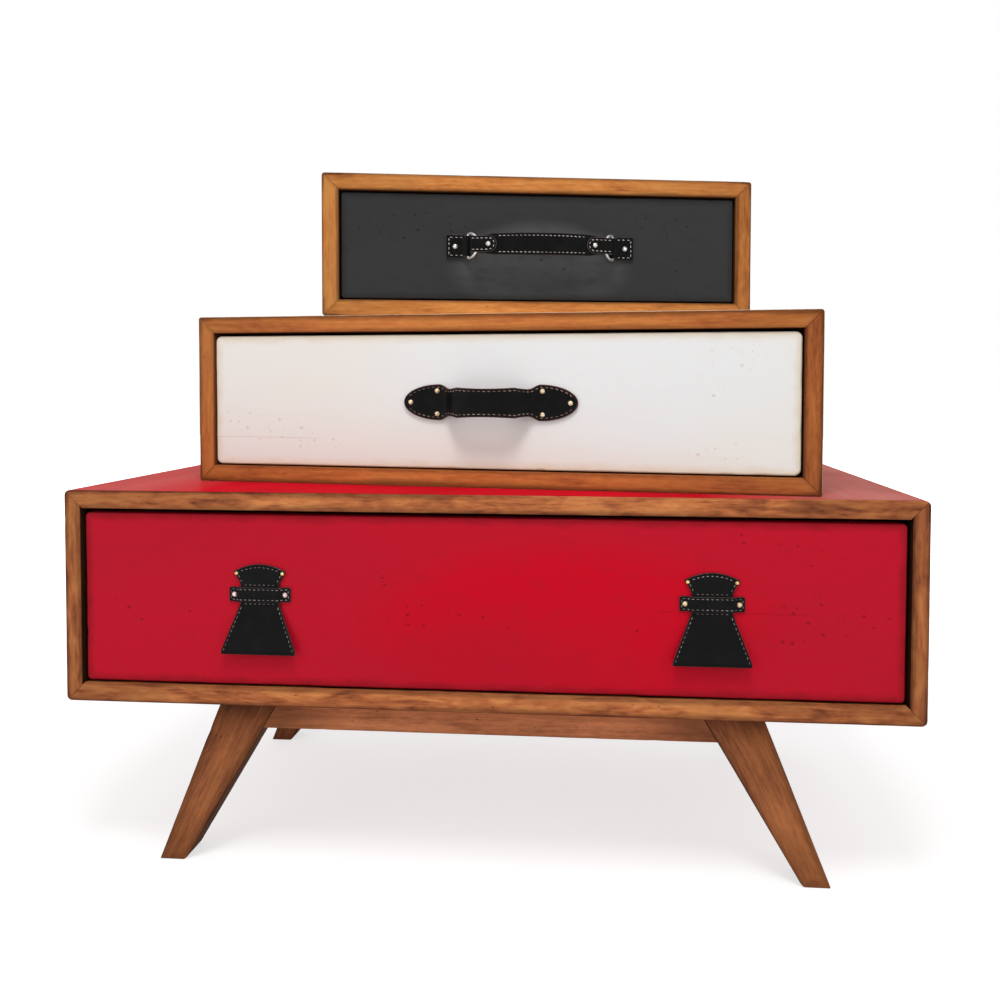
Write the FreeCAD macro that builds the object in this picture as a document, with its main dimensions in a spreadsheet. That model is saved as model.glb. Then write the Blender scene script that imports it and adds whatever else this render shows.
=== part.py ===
import FreeCAD, Part
import math
import os
import Sketcher

# Chest of drawers: three open-fronted cases of mitred boards, stacked and turned
# against each other on a stand with splayed legs, each with one drawer.
# X runs along the lower case, Y to the back and Z up. The origin is the middle of the
# whole object's footprint, on the floor. Lengths are in millimetres, turns in degrees.

SIZES = {
    # Outer sizes of the three cases and the thickness of their boards
    "lower_width": 1100.0, "lower_height": 278.0, "lower_depth": 500.0, "lower_board": 21.0,
    "middle_width": 856.0, "middle_height": 234.0, "middle_depth": 384.0, "middle_board": 23.0,
    "upper_width": 608.0, "upper_height": 198.0, "upper_depth": 250.0, "upper_board": 23.0,
    # How the cases stand on each other, from the middle of the lower case's front edge
    "middle_setback": 67.6, "middle_angle": -6.5,
    "upper_shift": 62.5, "upper_setback": 142.6, "upper_angle": 8.5,
    # Case joinery
    "corner_round": 4.5, "edge_ease": 1.2, "rebate_width": 8.0, "back_thickness": 8.0, "fit_gap": 0.2,
    # Drawer fronts
    "drawer_recess": 4.0, "drawer_gap": 3.5, "front_thickness": 20.0,
    "front_round": 2.5, "front_corner": 5.0,
    # Drawer boxes
    "box_side": 12.0, "box_inset": 9.0, "box_rise": 4.0, "box_drop": 14.0,
    "bottom_thickness": 6.0, "bottom_rise": 8.0, "bottom_groove": 5.0, "drawer_back_room": 16.0,
    # Runners
    "runner_height": 18.0, "runner_reach": 5.0, "runner_gap": 0.3, "runner_under_gap": 0.7,
    "runner_side_gap": 0.5, "groove_stop": 6.0, "runner_back_room": 22.0,
    # Stand
    "stand_height": 231.0, "leg_top_outer": 356.0, "leg_top_width": 81.0,
    "foot_outer": 448.5, "foot_width": 36.0, "leg_thickness": 42.0, "leg_round": 3.0,
    "leg_setback": 40.0, "apron_height": 45.5, "apron_thickness": 24.0,
    "rail_thickness": 24.0, "rail_offset": 310.0,
    # Wood screws
    "screw_length": 35.0, "screw_radius": 2.0, "screw_head_radius": 4.0, "screw_head_depth": 2.4,
    "screw_tip": 5.0, "screw_inset": 60.0, "stand_screw_offset": 150.0,
    # Leather and rivets
    "leather": 3.5, "rivet_radius": 3.2, "rivet_rise": 2.1, "small_rivet_radius": 2.3,
    "small_rivet_rise": 1.5, "shank_radius": 1.2, "shank_depth": 8.0, "shank_gap": 0.1,
    # Red pulls
    "pull_offset": 288.5, "pull_foot": 74.0, "pull_height": 110.5, "skirt_half": 48.5,
    "neck_half": 25.0, "neck_low": 60.5, "neck_high": 82.0, "tip_half": 34.5, "tip_height": 100.8,
    "skirt_reach": 18.0, "small_rivet_offset": 30.3, "small_rivet_height": 98.8,
    "keeper_half": 40.5, "keeper_low": 62.5, "keeper_height": 17.5, "keeper_thickness": 2.5,
    "keeper_rivet_offset": 34.2, "keeper_ramp": 3.6, "keeper_gap": 1.9,
    # White drawer's bowed strap
    "strap_level": 115.0, "strap_half": 120.0, "leaf_offset": 71.0, "leaf_half": 24.3,
    "waist_offset": 53.0, "waist_half": 15.3, "wide_offset": 37.0, "wide_half": 18.8,
    "strap_reach": 32.0, "bow_foot": 61.0, "bow_top": 36.0, "bow_bend": 9.0,
    "tip_rivet_offset": 110.0, "leaf_rivet_offset": 72.5, "leaf_rivet_rise": 15.6,
    # Charcoal drawer's grip on rings
    "tab_end": 133.0, "tab_length": 27.0, "tab_height": 33.0, "tab_rivet_inset": 11.5,
    "ring_wire": 1.6, "ring_half_height": 14.5, "ring_span": 20.0, "ring_corner": 6.5,
    "ring_angle": 68.0, "ring_stand": 4.0, "ring_offset": 103.0, "eye_gap": 0.3, "eye_wall": 2.0,
    "grip_angle": 10.0, "grip_straight": 38.0, "grip_start": 5.0, "grip_end_half": 11.4,
    "grip_mid_half": 14.6, "loop_wall": 2.2, "loop_length": 31.0, "loop_width": 17.5,
    "loop_rivet_inset": 12.5,
}

doc = FreeCAD.newDocument("chest_of_drawers")
sheet = doc.addObject("Spreadsheet::Sheet", "Sizes")
for row, (alias, value) in enumerate(SIZES.items(), start=1):
    sheet.set("A%d" % row, alias)
    sheet.set("B%d" % row, str(value))
    sheet.setAlias("B%d" % row, alias)
doc.recompute()


class Size:
    """A number together with the expression that gives it from the sheet."""

    def __init__(self, text, value):
        self.text, self.value = text, value

    def joined(self, sign, other, flip=False):
        other = other if isinstance(other, Size) else Size(repr(float(other)), float(other))
        a, b = (other, self) if flip else (self, other)
        results = {"+": lambda: a.value + b.value, "-": lambda: a.value - b.value,
                   "*": lambda: a.value * b.value, "/": lambda: a.value / b.value}
        return Size("(%s %s %s)" % (a.text, sign, b.text), results[sign]())

    def __add__(self, other):
        return self.joined("+", other)

    def __radd__(self, other):
        return self.joined("+", other, True)

    def __sub__(self, other):
        return self.joined("-", other)

    def __rsub__(self, other):
        return self.joined("-", other, True)

    def __mul__(self, other):
        return self.joined("*", other)

    __rmul__ = __mul__

    def __truediv__(self, other):
        return self.joined("/", other)

    def __neg__(self):
        return 0.0 - self


ZERO = Size("0", 0.0)
S = {alias: Size("Sizes." + alias, float(sheet.get(alias))) for alias in SIZES}
V = {alias: size.value for alias, size in S.items()}
nodes = []          # the finished sub-parts, in the order they are made


def size_of(value):
    return value if isinstance(value, Size) else ZERO + value


def bind(obj, **values):
    for prop, value in values.items():
        obj.setExpression(prop, size_of(value).text)
    return obj


def node(obj, label):
    obj.Label = label
    nodes.append(obj)
    return obj


def vector(x, y, z):
    return "create(<<vector>>; %s; %s; %s)" % tuple(size_of(v).text for v in (x, y, z))


def put(obj, frame, x=0, y=0, z=0):
    """Place an object at x, y, z of a case's own frame."""
    obj.setExpression("Placement", "%s.Placement * create(<<placement>>; %s; create(<<rotation>>; %s; 0))"
                      % (frame.Name, vector(x, y, z), vector(0, 0, 1)))
    return obj


def make_frame(name, x, y, z, turn):
    """A case's own frame: front face at y = 0, underside at z = 0, centred on x = 0."""
    frame = doc.addObject("App::Placement", name)
    frame.setExpression("Placement", "create(<<placement>>; %s; create(<<rotation>>; %s; %s))"
                        % (vector(x, y, z), vector(0, 0, 1), size_of(turn).text))
    return frame


# The skirts of the red pulls reach furthest forward, the lower case furthest back
front = (S["skirt_reach"] - S["drawer_recess"] - S["lower_depth"]) / 2
frames = {
    "lower": make_frame("lower_frame", 0, front, S["stand_height"], 0),
    "middle": make_frame("middle_frame", 0, front + S["middle_setback"],
                         S["stand_height"] + S["lower_height"], S["middle_angle"]),
    "upper": make_frame("upper_frame", S["upper_shift"], front + S["upper_setback"],
                        S["stand_height"] + S["lower_height"] + S["middle_height"], S["upper_angle"]),
}
doc.recompute()


def box(name, frame, x, y, z):
    """A box between two planes along each of the case's directions."""
    made = doc.addObject("Part::Box", name)
    bind(made, Length=x[1] - x[0], Width=y[1] - y[0], Height=z[1] - z[0])
    return put(made, frame, x[0], y[0], z[0])


def cut(name, base, tools):
    """Cut one or more objects out of another."""
    if len(tools) > 1:
        tool = doc.addObject("Part::MultiFuse", name + "_tools")
        tool.Shapes = tools
    else:
        tool = tools[0]
    made = doc.addObject("Part::Cut", name + "_cut")
    made.Base, made.Tool = base, tool
    return made


def outline(body, name, vertices, radii=None, lift=0):
    """A closed sketch on the body's XZ plane, moved back to y = lift.

    radii maps a side's number to the radius of the outward arc that takes its place.
    Every vertex and radius is bound to the sheet.
    """
    radii = radii or {}
    sketch = body.newObject("Sketcher::SketchObject", name)
    plane = next(f for f in body.Origin.OriginFeatures if f.Role == "XZ_Plane")
    sketch.AttachmentSupport = (plane, [""])
    sketch.MapMode = "FlatFace"
    sketch.setExpression("AttachmentOffset.Base.z", (0.0 - size_of(lift)).text)
    vertices = [(size_of(x), size_of(y)) for x, y in vertices]
    spots = [FreeCAD.Vector(x.value, y.value, 0) for x, y in vertices]
    centre = sum(spots, FreeCAD.Vector()) * (1.0 / len(spots))
    ends = []
    for i, a in enumerate(spots):
        b = spots[(i + 1) % len(spots)]
        if i in radii:
            radius, middle = radii[i].value, (a + b) * 0.5
            out = FreeCAD.Vector(b.y - a.y, a.x - b.x, 0).normalize()
            out = out if out.dot(middle - centre) > 0 else out * -1
            rise = radius - math.sqrt(radius ** 2 - (b - a).Length ** 2 / 4)
            side = sketch.addGeometry(Part.Arc(a, middle + out * rise, b), False)
        else:
            side = sketch.addGeometry(Part.LineSegment(a, b), False)
        first = 1 if sketch.getPoint(side, 1).distanceToPoint(a) < 1e-6 else 2
        ends.append((side, first, 3 - first))
    for i, (side, first, last) in enumerate(ends):
        after, start, _ = ends[(i + 1) % len(ends)]
        sketch.addConstraint(Sketcher.Constraint("Coincident", side, last, after, start))
        for kind, size in zip(("DistanceX", "DistanceY"), vertices[i]):
            index = sketch.addConstraint(Sketcher.Constraint(kind, -1, 1, side, first, size.value))
            sketch.setExpression("Constraints[%d]" % index, size.text)
        if i in radii:
            index = sketch.addConstraint(Sketcher.Constraint("Radius", side, radii[i].value))
            sketch.setExpression("Constraints[%d]" % index, radii[i].text)
    return sketch


def rectangle(x, z):
    return [(x[0], z[0]), (x[1], z[0]), (x[1], z[1]), (x[0], z[1])]


def pad(body, sketch, length):
    """Grow the sketch towards the back."""
    made = body.newObject("PartDesign::Pad", body.Name + "_pad")
    made.Profile, made.Reversed = sketch, True
    return bind(made, Length=length)


def pocket(body, sketch, length):
    """Sink the sketch from the back towards the front, and see that it cuts."""
    doc.recompute()
    before = body.Shape.Volume
    made = body.newObject("PartDesign::Pocket", sketch.Name + "_pocket")
    made.Profile, made.Reversed = sketch, True
    bind(made, Length=length)
    doc.recompute()
    if not body.Shape.Volume < before - 1.0:
        raise ValueError("%s removes nothing" % made.Name)
    return made


def round_edges(body, radius, test):
    """Round the edges of the body's latest feature that pass the test."""
    doc.recompute()
    base = body.Tip
    names = ["Edge%d" % i for i, edge in enumerate(base.Shape.Edges, start=1) if test(edge)]
    made = body.newObject("PartDesign::Fillet", "%s_round_%d" % (body.Name, len(names)))
    made.Base = (base, names)
    return bind(made, Radius=radius)


def middle_of(edge):
    return edge.valueAt((edge.FirstParameter + edge.LastParameter) / 2)


def is_along(edge, axis):
    """Whether an edge is straight and runs along a direction."""
    a, b = edge.valueAt(edge.FirstParameter), edge.valueAt(edge.LastParameter)
    return edge.Curve.TypeId == "Part::GeomLine" and abs((b - a).normalize().dot(axis)) > 0.999


BACKWARD = FreeCAD.Vector(0, 1, 0)


# Wood screws: one countersunk screw, set down with its head flush at each place

def screw_shape(gap):
    """A screw that points down from the origin, or with a gap the hole it sits in."""
    head, shank = V["screw_head_radius"] + gap, V["screw_radius"] + gap
    length = V["screw_length"] + gap
    profile = [(0, 0), (head, 0), (shank, V["screw_head_depth"]), (shank, length - V["screw_tip"]),
               (V["screw_radius"] / 4 + gap, length), (0, length)]
    wire = Part.makePolygon([FreeCAD.Vector(r, 0, -z) for r, z in profile + profile[:1]])
    return Part.Face(wire).revolve(FreeCAD.Vector(), FreeCAD.Vector(0, 0, 1), 360)


def screw_places():
    """Every screw's placement: head position in its case's frame, and the way it points."""
    down = FreeCAD.Rotation()
    places = []
    for name in ("lower", "middle", "upper"):
        at = layout(name)
        for side in (-1, 1):
            inward = FreeCAD.Rotation(FreeCAD.Vector(0, 1, 0), -90 * side)
            head = at["runner_x"][0].value
            for y in (at["runner_y"][0].value + V["screw_inset"] / 2,
                      at["runner_y"][1].value - V["screw_inset"] / 2):
                spot = FreeCAD.Vector(side * head, y, (at["runner_z"][0] + at["runner_z"][1]).value / 2)
                places.append((name, spot, inward))
    for name in ("middle", "upper"):
        at = layout(name)
        reach = at["inner"].value - V["screw_inset"]
        for x in (-reach, reach):
            for y in (V["screw_inset"], at["depth"].value - V["screw_inset"]):
                places.append((name, FreeCAD.Vector(x, y, at["board"].value), down))
    at = layout("lower")
    rail = V["rail_offset"] + V["rail_thickness"] / 2
    apron = V["leg_setback"] + V["apron_thickness"] / 2
    behind = V["leg_setback"] + V["leg_thickness"] + V["screw_inset"]
    for x in (-1, 1):
        for y in (behind, at["depth"].value - behind):
            places.append(("lower", FreeCAD.Vector(x * rail, y, at["board"].value), down))
        for y in (apron, at["depth"].value - apron):
            spot = FreeCAD.Vector(x * V["stand_screw_offset"], y, at["board"].value)
            places.append(("lower", spot, down))
    return places


def layout(name):
    """The sizes of one case and its drawer, in the case's frame."""
    width, height, depth, board = (S[name + "_" + k] for k in ("width", "height", "depth", "board"))
    inner = width / 2 - board
    front_half = inner - S["drawer_gap"]
    front_z = (board + S["drawer_gap"], height - board - S["drawer_gap"])
    box_front = S["drawer_recess"] + S["front_thickness"]
    box_y = (box_front, depth - S["back_thickness"] - S["drawer_back_room"])
    box_z = (front_z[0] + S["box_rise"], front_z[1] - S["box_drop"])
    box_outer = front_half - S["box_inset"]
    floor = box_z[0] + S["bottom_rise"]
    runner_low = (box_z[0] + box_z[1] - S["runner_height"]) / 2
    return {
        "width": width, "height": height, "depth": depth, "board": board, "inner": inner,
        "front_half": front_half, "front_z": front_z, "box_y": box_y, "box_z": box_z,
        "box_outer": box_outer, "box_inner": box_outer - S["box_side"],
        "floor": (floor, floor + S["bottom_thickness"]),
        "runner_x": (box_outer - S["runner_reach"], inner),
        "runner_y": (box_front + S["groove_stop"] + S["runner_gap"],
                     depth - S["back_thickness"] - S["runner_back_room"]),
        "runner_z": (runner_low, runner_low + S["runner_height"]),
    }


def scattered(name, shapes):
    """One object that holds several separate solids."""
    made = doc.addObject("Part::Feature", name)
    made.Shape = Part.makeCompound(shapes)
    return made


def placed_screws(gap):
    shapes = []
    for name, spot, turn in screw_places():
        shape = screw_shape(gap)
        shape.Placement = frames[name].Placement.multiply(FreeCAD.Placement(spot, turn))
        shapes.append(shape)
    return shapes


screw_holes = scattered("screw_holes", placed_screws(V["shank_gap"]))


# Cases

def case_board(name, side):
    """One mitred board, its outer corners rounded, rebated at the back for the panel."""
    at = layout(name)
    width, height, board, depth = at["width"], at["height"], at["board"], at["depth"]
    flat = side in ("top", "bottom")
    low, high = (-width / 2, width / 2) if flat else (ZERO, height)

    def spot(along, inward):
        return {"top": (along, height - inward), "bottom": (along, inward),
                "left": (inward - width / 2, along), "right": (width / 2 - inward, along)}[side]

    radius = S["corner_round"]
    mitre = radius * (1 - math.sqrt(0.5))
    vertices = [spot(low + board, board), spot(low + mitre, mitre), spot(low + radius, ZERO),
                spot(high - radius, ZERO), spot(high - mitre, mitre), spot(high - board, board)]
    label = "%s_%s_board" % (name, side)
    body = doc.addObject("PartDesign::Body", label + "_blank")
    put(body, frames[name])
    pad(body, outline(body, label + "_profile", vertices, {1: radius, 3: radius}), depth)

    def shows_in_front(edge):
        straight = is_along(edge, FreeCAD.Vector(1, 0, 0)) or is_along(edge, FreeCAD.Vector(0, 0, 1))
        return abs(middle_of(edge).y) < 1e-6 and (straight or edge.Curve.TypeId == "Part::GeomCircle")

    round_edges(body, S["edge_ease"], shows_in_front)
    rebate = S["rebate_width"]
    opening = rectangle((-at["inner"] - rebate, at["inner"] + rebate),
                        (board - rebate, height - board + rebate))
    pocket(body, outline(body, label + "_rebate", opening, lift=depth), S["back_thickness"])
    if side == "top" and name == "upper":
        return node(body, label)
    return node(cut(label, body, [screw_holes]), label)


def case(name):
    at = layout(name)
    for side in ("top", "bottom", "left", "right"):
        case_board(name, side)
    edge = S["rebate_width"] - S["fit_gap"]
    node(box(name + "_back", frames[name], (-at["inner"] - edge, at["inner"] + edge),
             (at["depth"] - S["back_thickness"], at["depth"]),
             (at["board"] - edge, at["height"] - at["board"] + edge)), name + "_back_panel")
    for side in ("left", "right"):
        x = at["runner_x"] if side == "right" else (-at["runner_x"][1], -at["runner_x"][0])
        label = "%s_%s_runner" % (name, side)
        strip = box(label + "_strip", frames[name], x, at["runner_y"], at["runner_z"])
        node(cut(label, strip, [screw_holes]), label)


# Drawers

def drawer(name, rivet_holes):
    """The front board, with the box behind it that hangs on the runners."""
    at, frame = layout(name), frames[name]
    (z_low, z_high), (y_low, y_high) = at["box_z"], at["box_y"]
    half, tall = at["front_half"], at["front_z"][1] - at["front_z"][0]
    label = name + "_drawer_front"
    body = doc.addObject("PartDesign::Body", label + "_blank")
    put(body, frame, 0, S["drawer_recess"], at["front_z"][0])
    pad(body, outline(body, label + "_profile", rectangle((-half, half), (ZERO, tall))),
        S["front_thickness"])
    round_edges(body, S["front_corner"], lambda e: is_along(e, BACKWARD))
    round_edges(body, S["front_round"], lambda e: abs(middle_of(e).y) < 1e-6)
    groove_half = at["box_inner"] + S["bottom_groove"]
    low = at["floor"][0] - at["front_z"][0]
    groove = rectangle((-groove_half, groove_half), (low, low + S["bottom_thickness"] + S["fit_gap"]))
    pocket(body, outline(body, label + "_groove", groove, lift=S["front_thickness"]), S["bottom_groove"])
    node(cut(label, body, [rivet_holes]), label)

    inner, outer = at["box_inner"], at["box_outer"]
    groove_x = (inner, inner + S["bottom_groove"])
    track_x = (outer - S["runner_reach"] - S["runner_side_gap"], outer)
    track_z = (at["runner_z"][0] - S["runner_under_gap"], at["runner_z"][1] + S["runner_gap"])
    for side in ("left", "right"):
        def across(pair):
            return pair if side == "right" else (-pair[1], -pair[0])
        label = "%s_drawer_%s_side" % (name, side)
        blank = box(label + "_blank", frame, across((inner, outer)), (y_low, y_high), (z_low, z_high))
        slot = box(label + "_slot", frame, across(groove_x), (y_low, y_high),
                   (at["floor"][0], at["floor"][1] + S["fit_gap"]))
        track = box(label + "_track", frame, across(track_x), (y_low + S["groove_stop"], y_high), track_z)
        node(cut(label, blank, [slot, track]), label)
    node(box(name + "_drawer_back_board", frame, (-inner, inner), (y_high - S["box_side"], y_high),
             (at["floor"][1], z_high)), name + "_drawer_back")
    edge = S["bottom_groove"] - S["fit_gap"]
    node(box(name + "_drawer_floor", frame, (-inner - edge, inner + edge),
             (y_low - edge, y_high), at["floor"]), name + "_drawer_bottom")


# Stand

def leg(label, side, back):
    """A splayed leg that tapers to its foot. side is -1 for left and 1 for right."""
    tall = S["stand_height"]
    inner = S["leg_top_outer"] - S["leg_top_width"]
    corners = [(side * S["leg_top_outer"], ZERO), (side * S["foot_outer"], -tall),
               (side * (S["foot_outer"] - S["foot_width"]), -tall), (side * inner, ZERO)]
    body = doc.addObject("PartDesign::Body", label + "_body")
    y = S["lower_depth"] - S["leg_setback"] - S["leg_thickness"] if back else S["leg_setback"]
    put(body, frames["lower"], 0, y, 0)
    pad(body, outline(body, label + "_profile", corners), S["leg_thickness"])
    middle = (V["leg_top_outer"] + V["foot_outer"]) / 2

    def on_outer_side(edge):
        return abs(abs(middle_of(edge).x) - middle) < 1.0 and not is_along(edge, BACKWARD)

    round_edges(body, S["leg_round"], on_outer_side)
    node(body, label)


def apron(label, back):
    """The rail between two legs, its ends cut to their slope."""
    inner = S["leg_top_outer"] - S["leg_top_width"]
    lean = (S["foot_outer"] - S["foot_width"] - inner) / S["stand_height"]
    low = inner + lean * S["apron_height"]
    corners = [(-inner, ZERO), (-low, -S["apron_height"]), (low, -S["apron_height"]), (inner, ZERO)]
    body = doc.addObject("PartDesign::Body", label + "_body")
    y = (S["lower_depth"] - S["leg_setback"] - S["apron_thickness"]) if back else S["leg_setback"]
    put(body, frames["lower"], 0, y, 0)
    pad(body, outline(body, label + "_profile", corners), S["apron_thickness"])
    node(cut(label, body, [screw_holes]), label)


def stand():
    for side, word in ((-1, "left"), (1, "right")):
        leg("leg_front_" + word, side, False)
        leg("leg_rear_" + word, side, True)
    apron("apron_front", False)
    apron("apron_rear", True)
    behind = S["leg_setback"] + S["leg_thickness"]
    for side, word in ((-1, "left"), (1, "right")):
        near, far = S["rail_offset"], S["rail_offset"] + S["rail_thickness"]
        x = (near, far) if side > 0 else (-far, -near)
        label = "side_rail_" + word
        bar = box(label + "_bar", frames["lower"], x, (behind, S["lower_depth"] - behind),
                  (-S["apron_height"], ZERO))
        node(cut(label, bar, [screw_holes]), label)


# Leather, rings and rivets, in their case's frame

def bent(path, radii, thickness):
    """The outline of a strip of even thickness along a path with rounded bends."""
    points = [FreeCAD.Vector(x, y, 0) for x, y in path]
    ways = [(b - a).normalize() for a, b in zip(points, points[1:])]
    edges = []
    for offset in (thickness / 2, -thickness / 2):
        side, last = [], points[0] + FreeCAD.Vector(-ways[0].y, ways[0].x, 0) * offset
        for point, radius, before, after in zip(points[1:], radii, ways, ways[1:]):
            turn = math.atan2(before.x * after.y - before.y * after.x, before.dot(after))
            reach = radius * math.tan(abs(turn) / 2)
            left_b = FreeCAD.Vector(-before.y, before.x, 0)
            left_a = FreeCAD.Vector(-after.y, after.x, 0)
            start, end = point - before * reach + left_b * offset, point + after * reach + left_a * offset
            hub = point - before * reach + left_b * math.copysign(radius, turn)
            arm = (start - hub + end - hub).normalize() * (start - hub).Length
            side += [Part.LineSegment(last, start), Part.Arc(start, hub + arm, end)]
            last = end
        side.append(Part.LineSegment(last, points[-1] + FreeCAD.Vector(-ways[-1].y, ways[-1].x, 0) * offset))
        edges.append(side)
    left, right = edges
    left.append(Part.LineSegment(left[-1].EndPoint, right[-1].EndPoint))
    left.append(Part.LineSegment(left[0].StartPoint, right[0].StartPoint))
    shapes = [c.toShape() for c in left + right]
    return Part.Face(Part.Wire(Part.__sortEdges__(shapes)))


def closed(points):
    """A face from a ring of points in XZ, where a pair in a list is passed on an arc."""
    spots = list(points)
    edges, i = [], 0
    while i < len(spots):
        a = spots[i]
        via = spots[i + 1] if isinstance(spots[(i + 1) % len(spots)], list) else None
        step = 2 if via is not None else 1
        b = spots[(i + step) % len(spots)]
        start, end = (FreeCAD.Vector(p[0], 0, p[1]) for p in (a, b))
        if via is None:
            edges.append(Part.LineSegment(start, end).toShape())
        else:
            edges.append(Part.Arc(start, FreeCAD.Vector(via[0], 0, via[1]), end).toShape())
        i += step
    return Part.Face(Part.Wire(Part.__sortEdges__(edges)))


def mirrored_ring(upper):
    """Close an outline that runs left to right above the x axis with its mirror below."""
    lower = []
    for item in reversed(upper[1:-1]):
        flip = [item[0], -item[1]]
        lower.append(flip if isinstance(item, list) else tuple(flip))
    return upper + lower


def both_ways(upper):
    """An outline's left half, given from the left end to x = 0, with its mirror to the right."""
    right = []
    for item in reversed(upper[:-1]):
        flip = [-item[0], item[1]]
        right.append(flip if isinstance(item, list) else tuple(flip))
    return upper + right


def through(face, low, high):
    """Extend a face that lies in XZ from y = low to y = high."""
    grown = face.extrude(FreeCAD.Vector(0, high - low, 0))
    grown.translate(FreeCAD.Vector(0, low, 0))
    return grown


def leather_piece(label, frame, shape, x=0, z=0):
    made = doc.addObject("Part::Feature", label)
    made.Shape = shape.Solids[0] if len(shape.Solids) == 1 else shape
    put(made, frame, x, 0, z)
    return node(made, label)


def rivet_at(x, y, z, radius, rise, length, lean=0.0, gap=0.0):
    """A domed rivet whose head faces forward from y, with its shank behind it."""
    ball = (radius ** 2 + rise ** 2) / (2 * rise)
    low = math.degrees(math.asin((ball - rise) / ball))
    shank = Part.makeCylinder(V["shank_radius"] + gap, length, FreeCAD.Vector(0, 0, -length))
    shape = shank
    if not gap:
        head = Part.makeSphere(ball, FreeCAD.Vector(0, 0, rise - ball), FreeCAD.Vector(0, 0, 1), low, 90, 360)
        shape = head.fuse(shank).removeSplitter()
    turn = FreeCAD.Rotation(FreeCAD.Vector(0, 0, 1), lean).multiply(
        FreeCAD.Rotation(FreeCAD.Vector(1, 0, 0), 90))
    shape.Placement = FreeCAD.Placement(FreeCAD.Vector(x, y, z), turn)
    return shape


def rivets(label, name, places):
    """Set rivets, and return the holes that their shanks need."""
    holes = [rivet_at(*place, gap=V["shank_gap"]) for place in places]
    put(scattered(label + "_feature", [rivet_at(*place) for place in places]), frames[name])
    node(doc.getObject(label + "_feature"), label)
    return put(scattered(label + "_holes", holes), frames[name])


def holed(shape, holes, x=0, z=0):
    """Cut rivet holes, given in the case's frame, from a shape that stands at x and z."""
    for hole in holes.Shape.Solids:
        tool = hole.copy()
        tool.Placement = FreeCAD.Placement(FreeCAD.Vector(-x, 0, -z), FreeCAD.Rotation()).multiply(
            holes.Placement.inverse().multiply(tool.Placement))
        shape = shape.cut(tool)
    return shape


def red_pulls():
    """Two cut leather tabs whose skirts stand off the drawer, each held by a keeper strap."""
    face, hide, foot = V["drawer_recess"], V["leather"], V["pull_foot"]
    surface = face - hide
    length = hide + V["shank_depth"]
    strap = V["keeper_thickness"]
    keeper_mid = V["keeper_low"] + V["keeper_height"] / 2
    places = []
    for x in (-V["pull_offset"], V["pull_offset"]):
        for side in (-1, 1):
            places.append((x + side * V["small_rivet_offset"], surface, foot + V["small_rivet_height"],
                           V["small_rivet_radius"], V["small_rivet_rise"], length))
            places.append((x + side * V["keeper_rivet_offset"], face - strap, foot + keeper_mid,
                           V["rivet_radius"], V["rivet_rise"], strap + V["shank_depth"]))
    holes = rivets("red_pull_rivets", "lower", places)
    doc.recompute()

    slant = math.atan2(V["skirt_reach"] - hide, V["neck_low"])
    bend = (surface + hide / 2, V["neck_low"])
    end = (face - V["skirt_reach"] + hide / 2 / math.cos(slant), 0.0)
    beyond = (2 * end[0] - bend[0], 2 * end[1] - bend[1])
    path = [(bend[0], V["pull_height"] + hide), bend, beyond]
    side_face = bent(path, [3 * hide], hide)
    side_face.transformShape(FreeCAD.Matrix(0, 0, 1, 0, 1, 0, 0, 0, 0, 1, 0, 0, 0, 0, 0, 1))
    side_face.translate(FreeCAD.Vector(-V["skirt_half"] - 1, 0, 0))
    sheet_solid = side_face.extrude(FreeCAD.Vector(2 * V["skirt_half"] + 2, 0, 0))
    tip, neck = V["tip_half"], V["neck_half"]
    left = [(-V["skirt_half"], 0.0), (-neck, V["neck_low"]), (-neck, V["neck_high"]),
            [-(neck + 0.42 * (tip - neck)), V["neck_high"] + 0.55 * (V["tip_height"] - V["neck_high"])],
            (-tip, V["tip_height"])]
    top = left + [[0.0, V["pull_height"]]]
    right = []
    for item in reversed(left):
        right.append([-item[0], item[1]] if isinstance(item, list) else (-item[0], item[1]))
    cutter = through(closed(top + right), face - V["skirt_reach"] - hide, face + 1)
    tab = sheet_solid.common(cutter)

    half, ramp = V["keeper_half"], V["keeper_ramp"]
    low_y, high_y = face - strap / 2, surface - strap / 2
    start = neck + ramp + V["keeper_gap"]
    line = [(-half, low_y), (-start, low_y), (-start + ramp, high_y), (start - ramp, high_y),
            (start, low_y), (half, low_y)]
    keeper = bent(line, [strap * 0.6] * 4, strap).extrude(FreeCAD.Vector(0, 0, V["keeper_height"]))
    keeper.translate(FreeCAD.Vector(0, 0, V["keeper_low"]))
    for side, word in ((-1, "left"), (1, "right")):
        x = side * V["pull_offset"]
        for label, shape in (("red_%s_pull" % word, tab), ("red_%s_keeper" % word, keeper)):
            leather_piece(label, frames["lower"], holed(shape, holes, x, foot),
                          side * S["pull_offset"], S["pull_foot"])
    return holes


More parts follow.
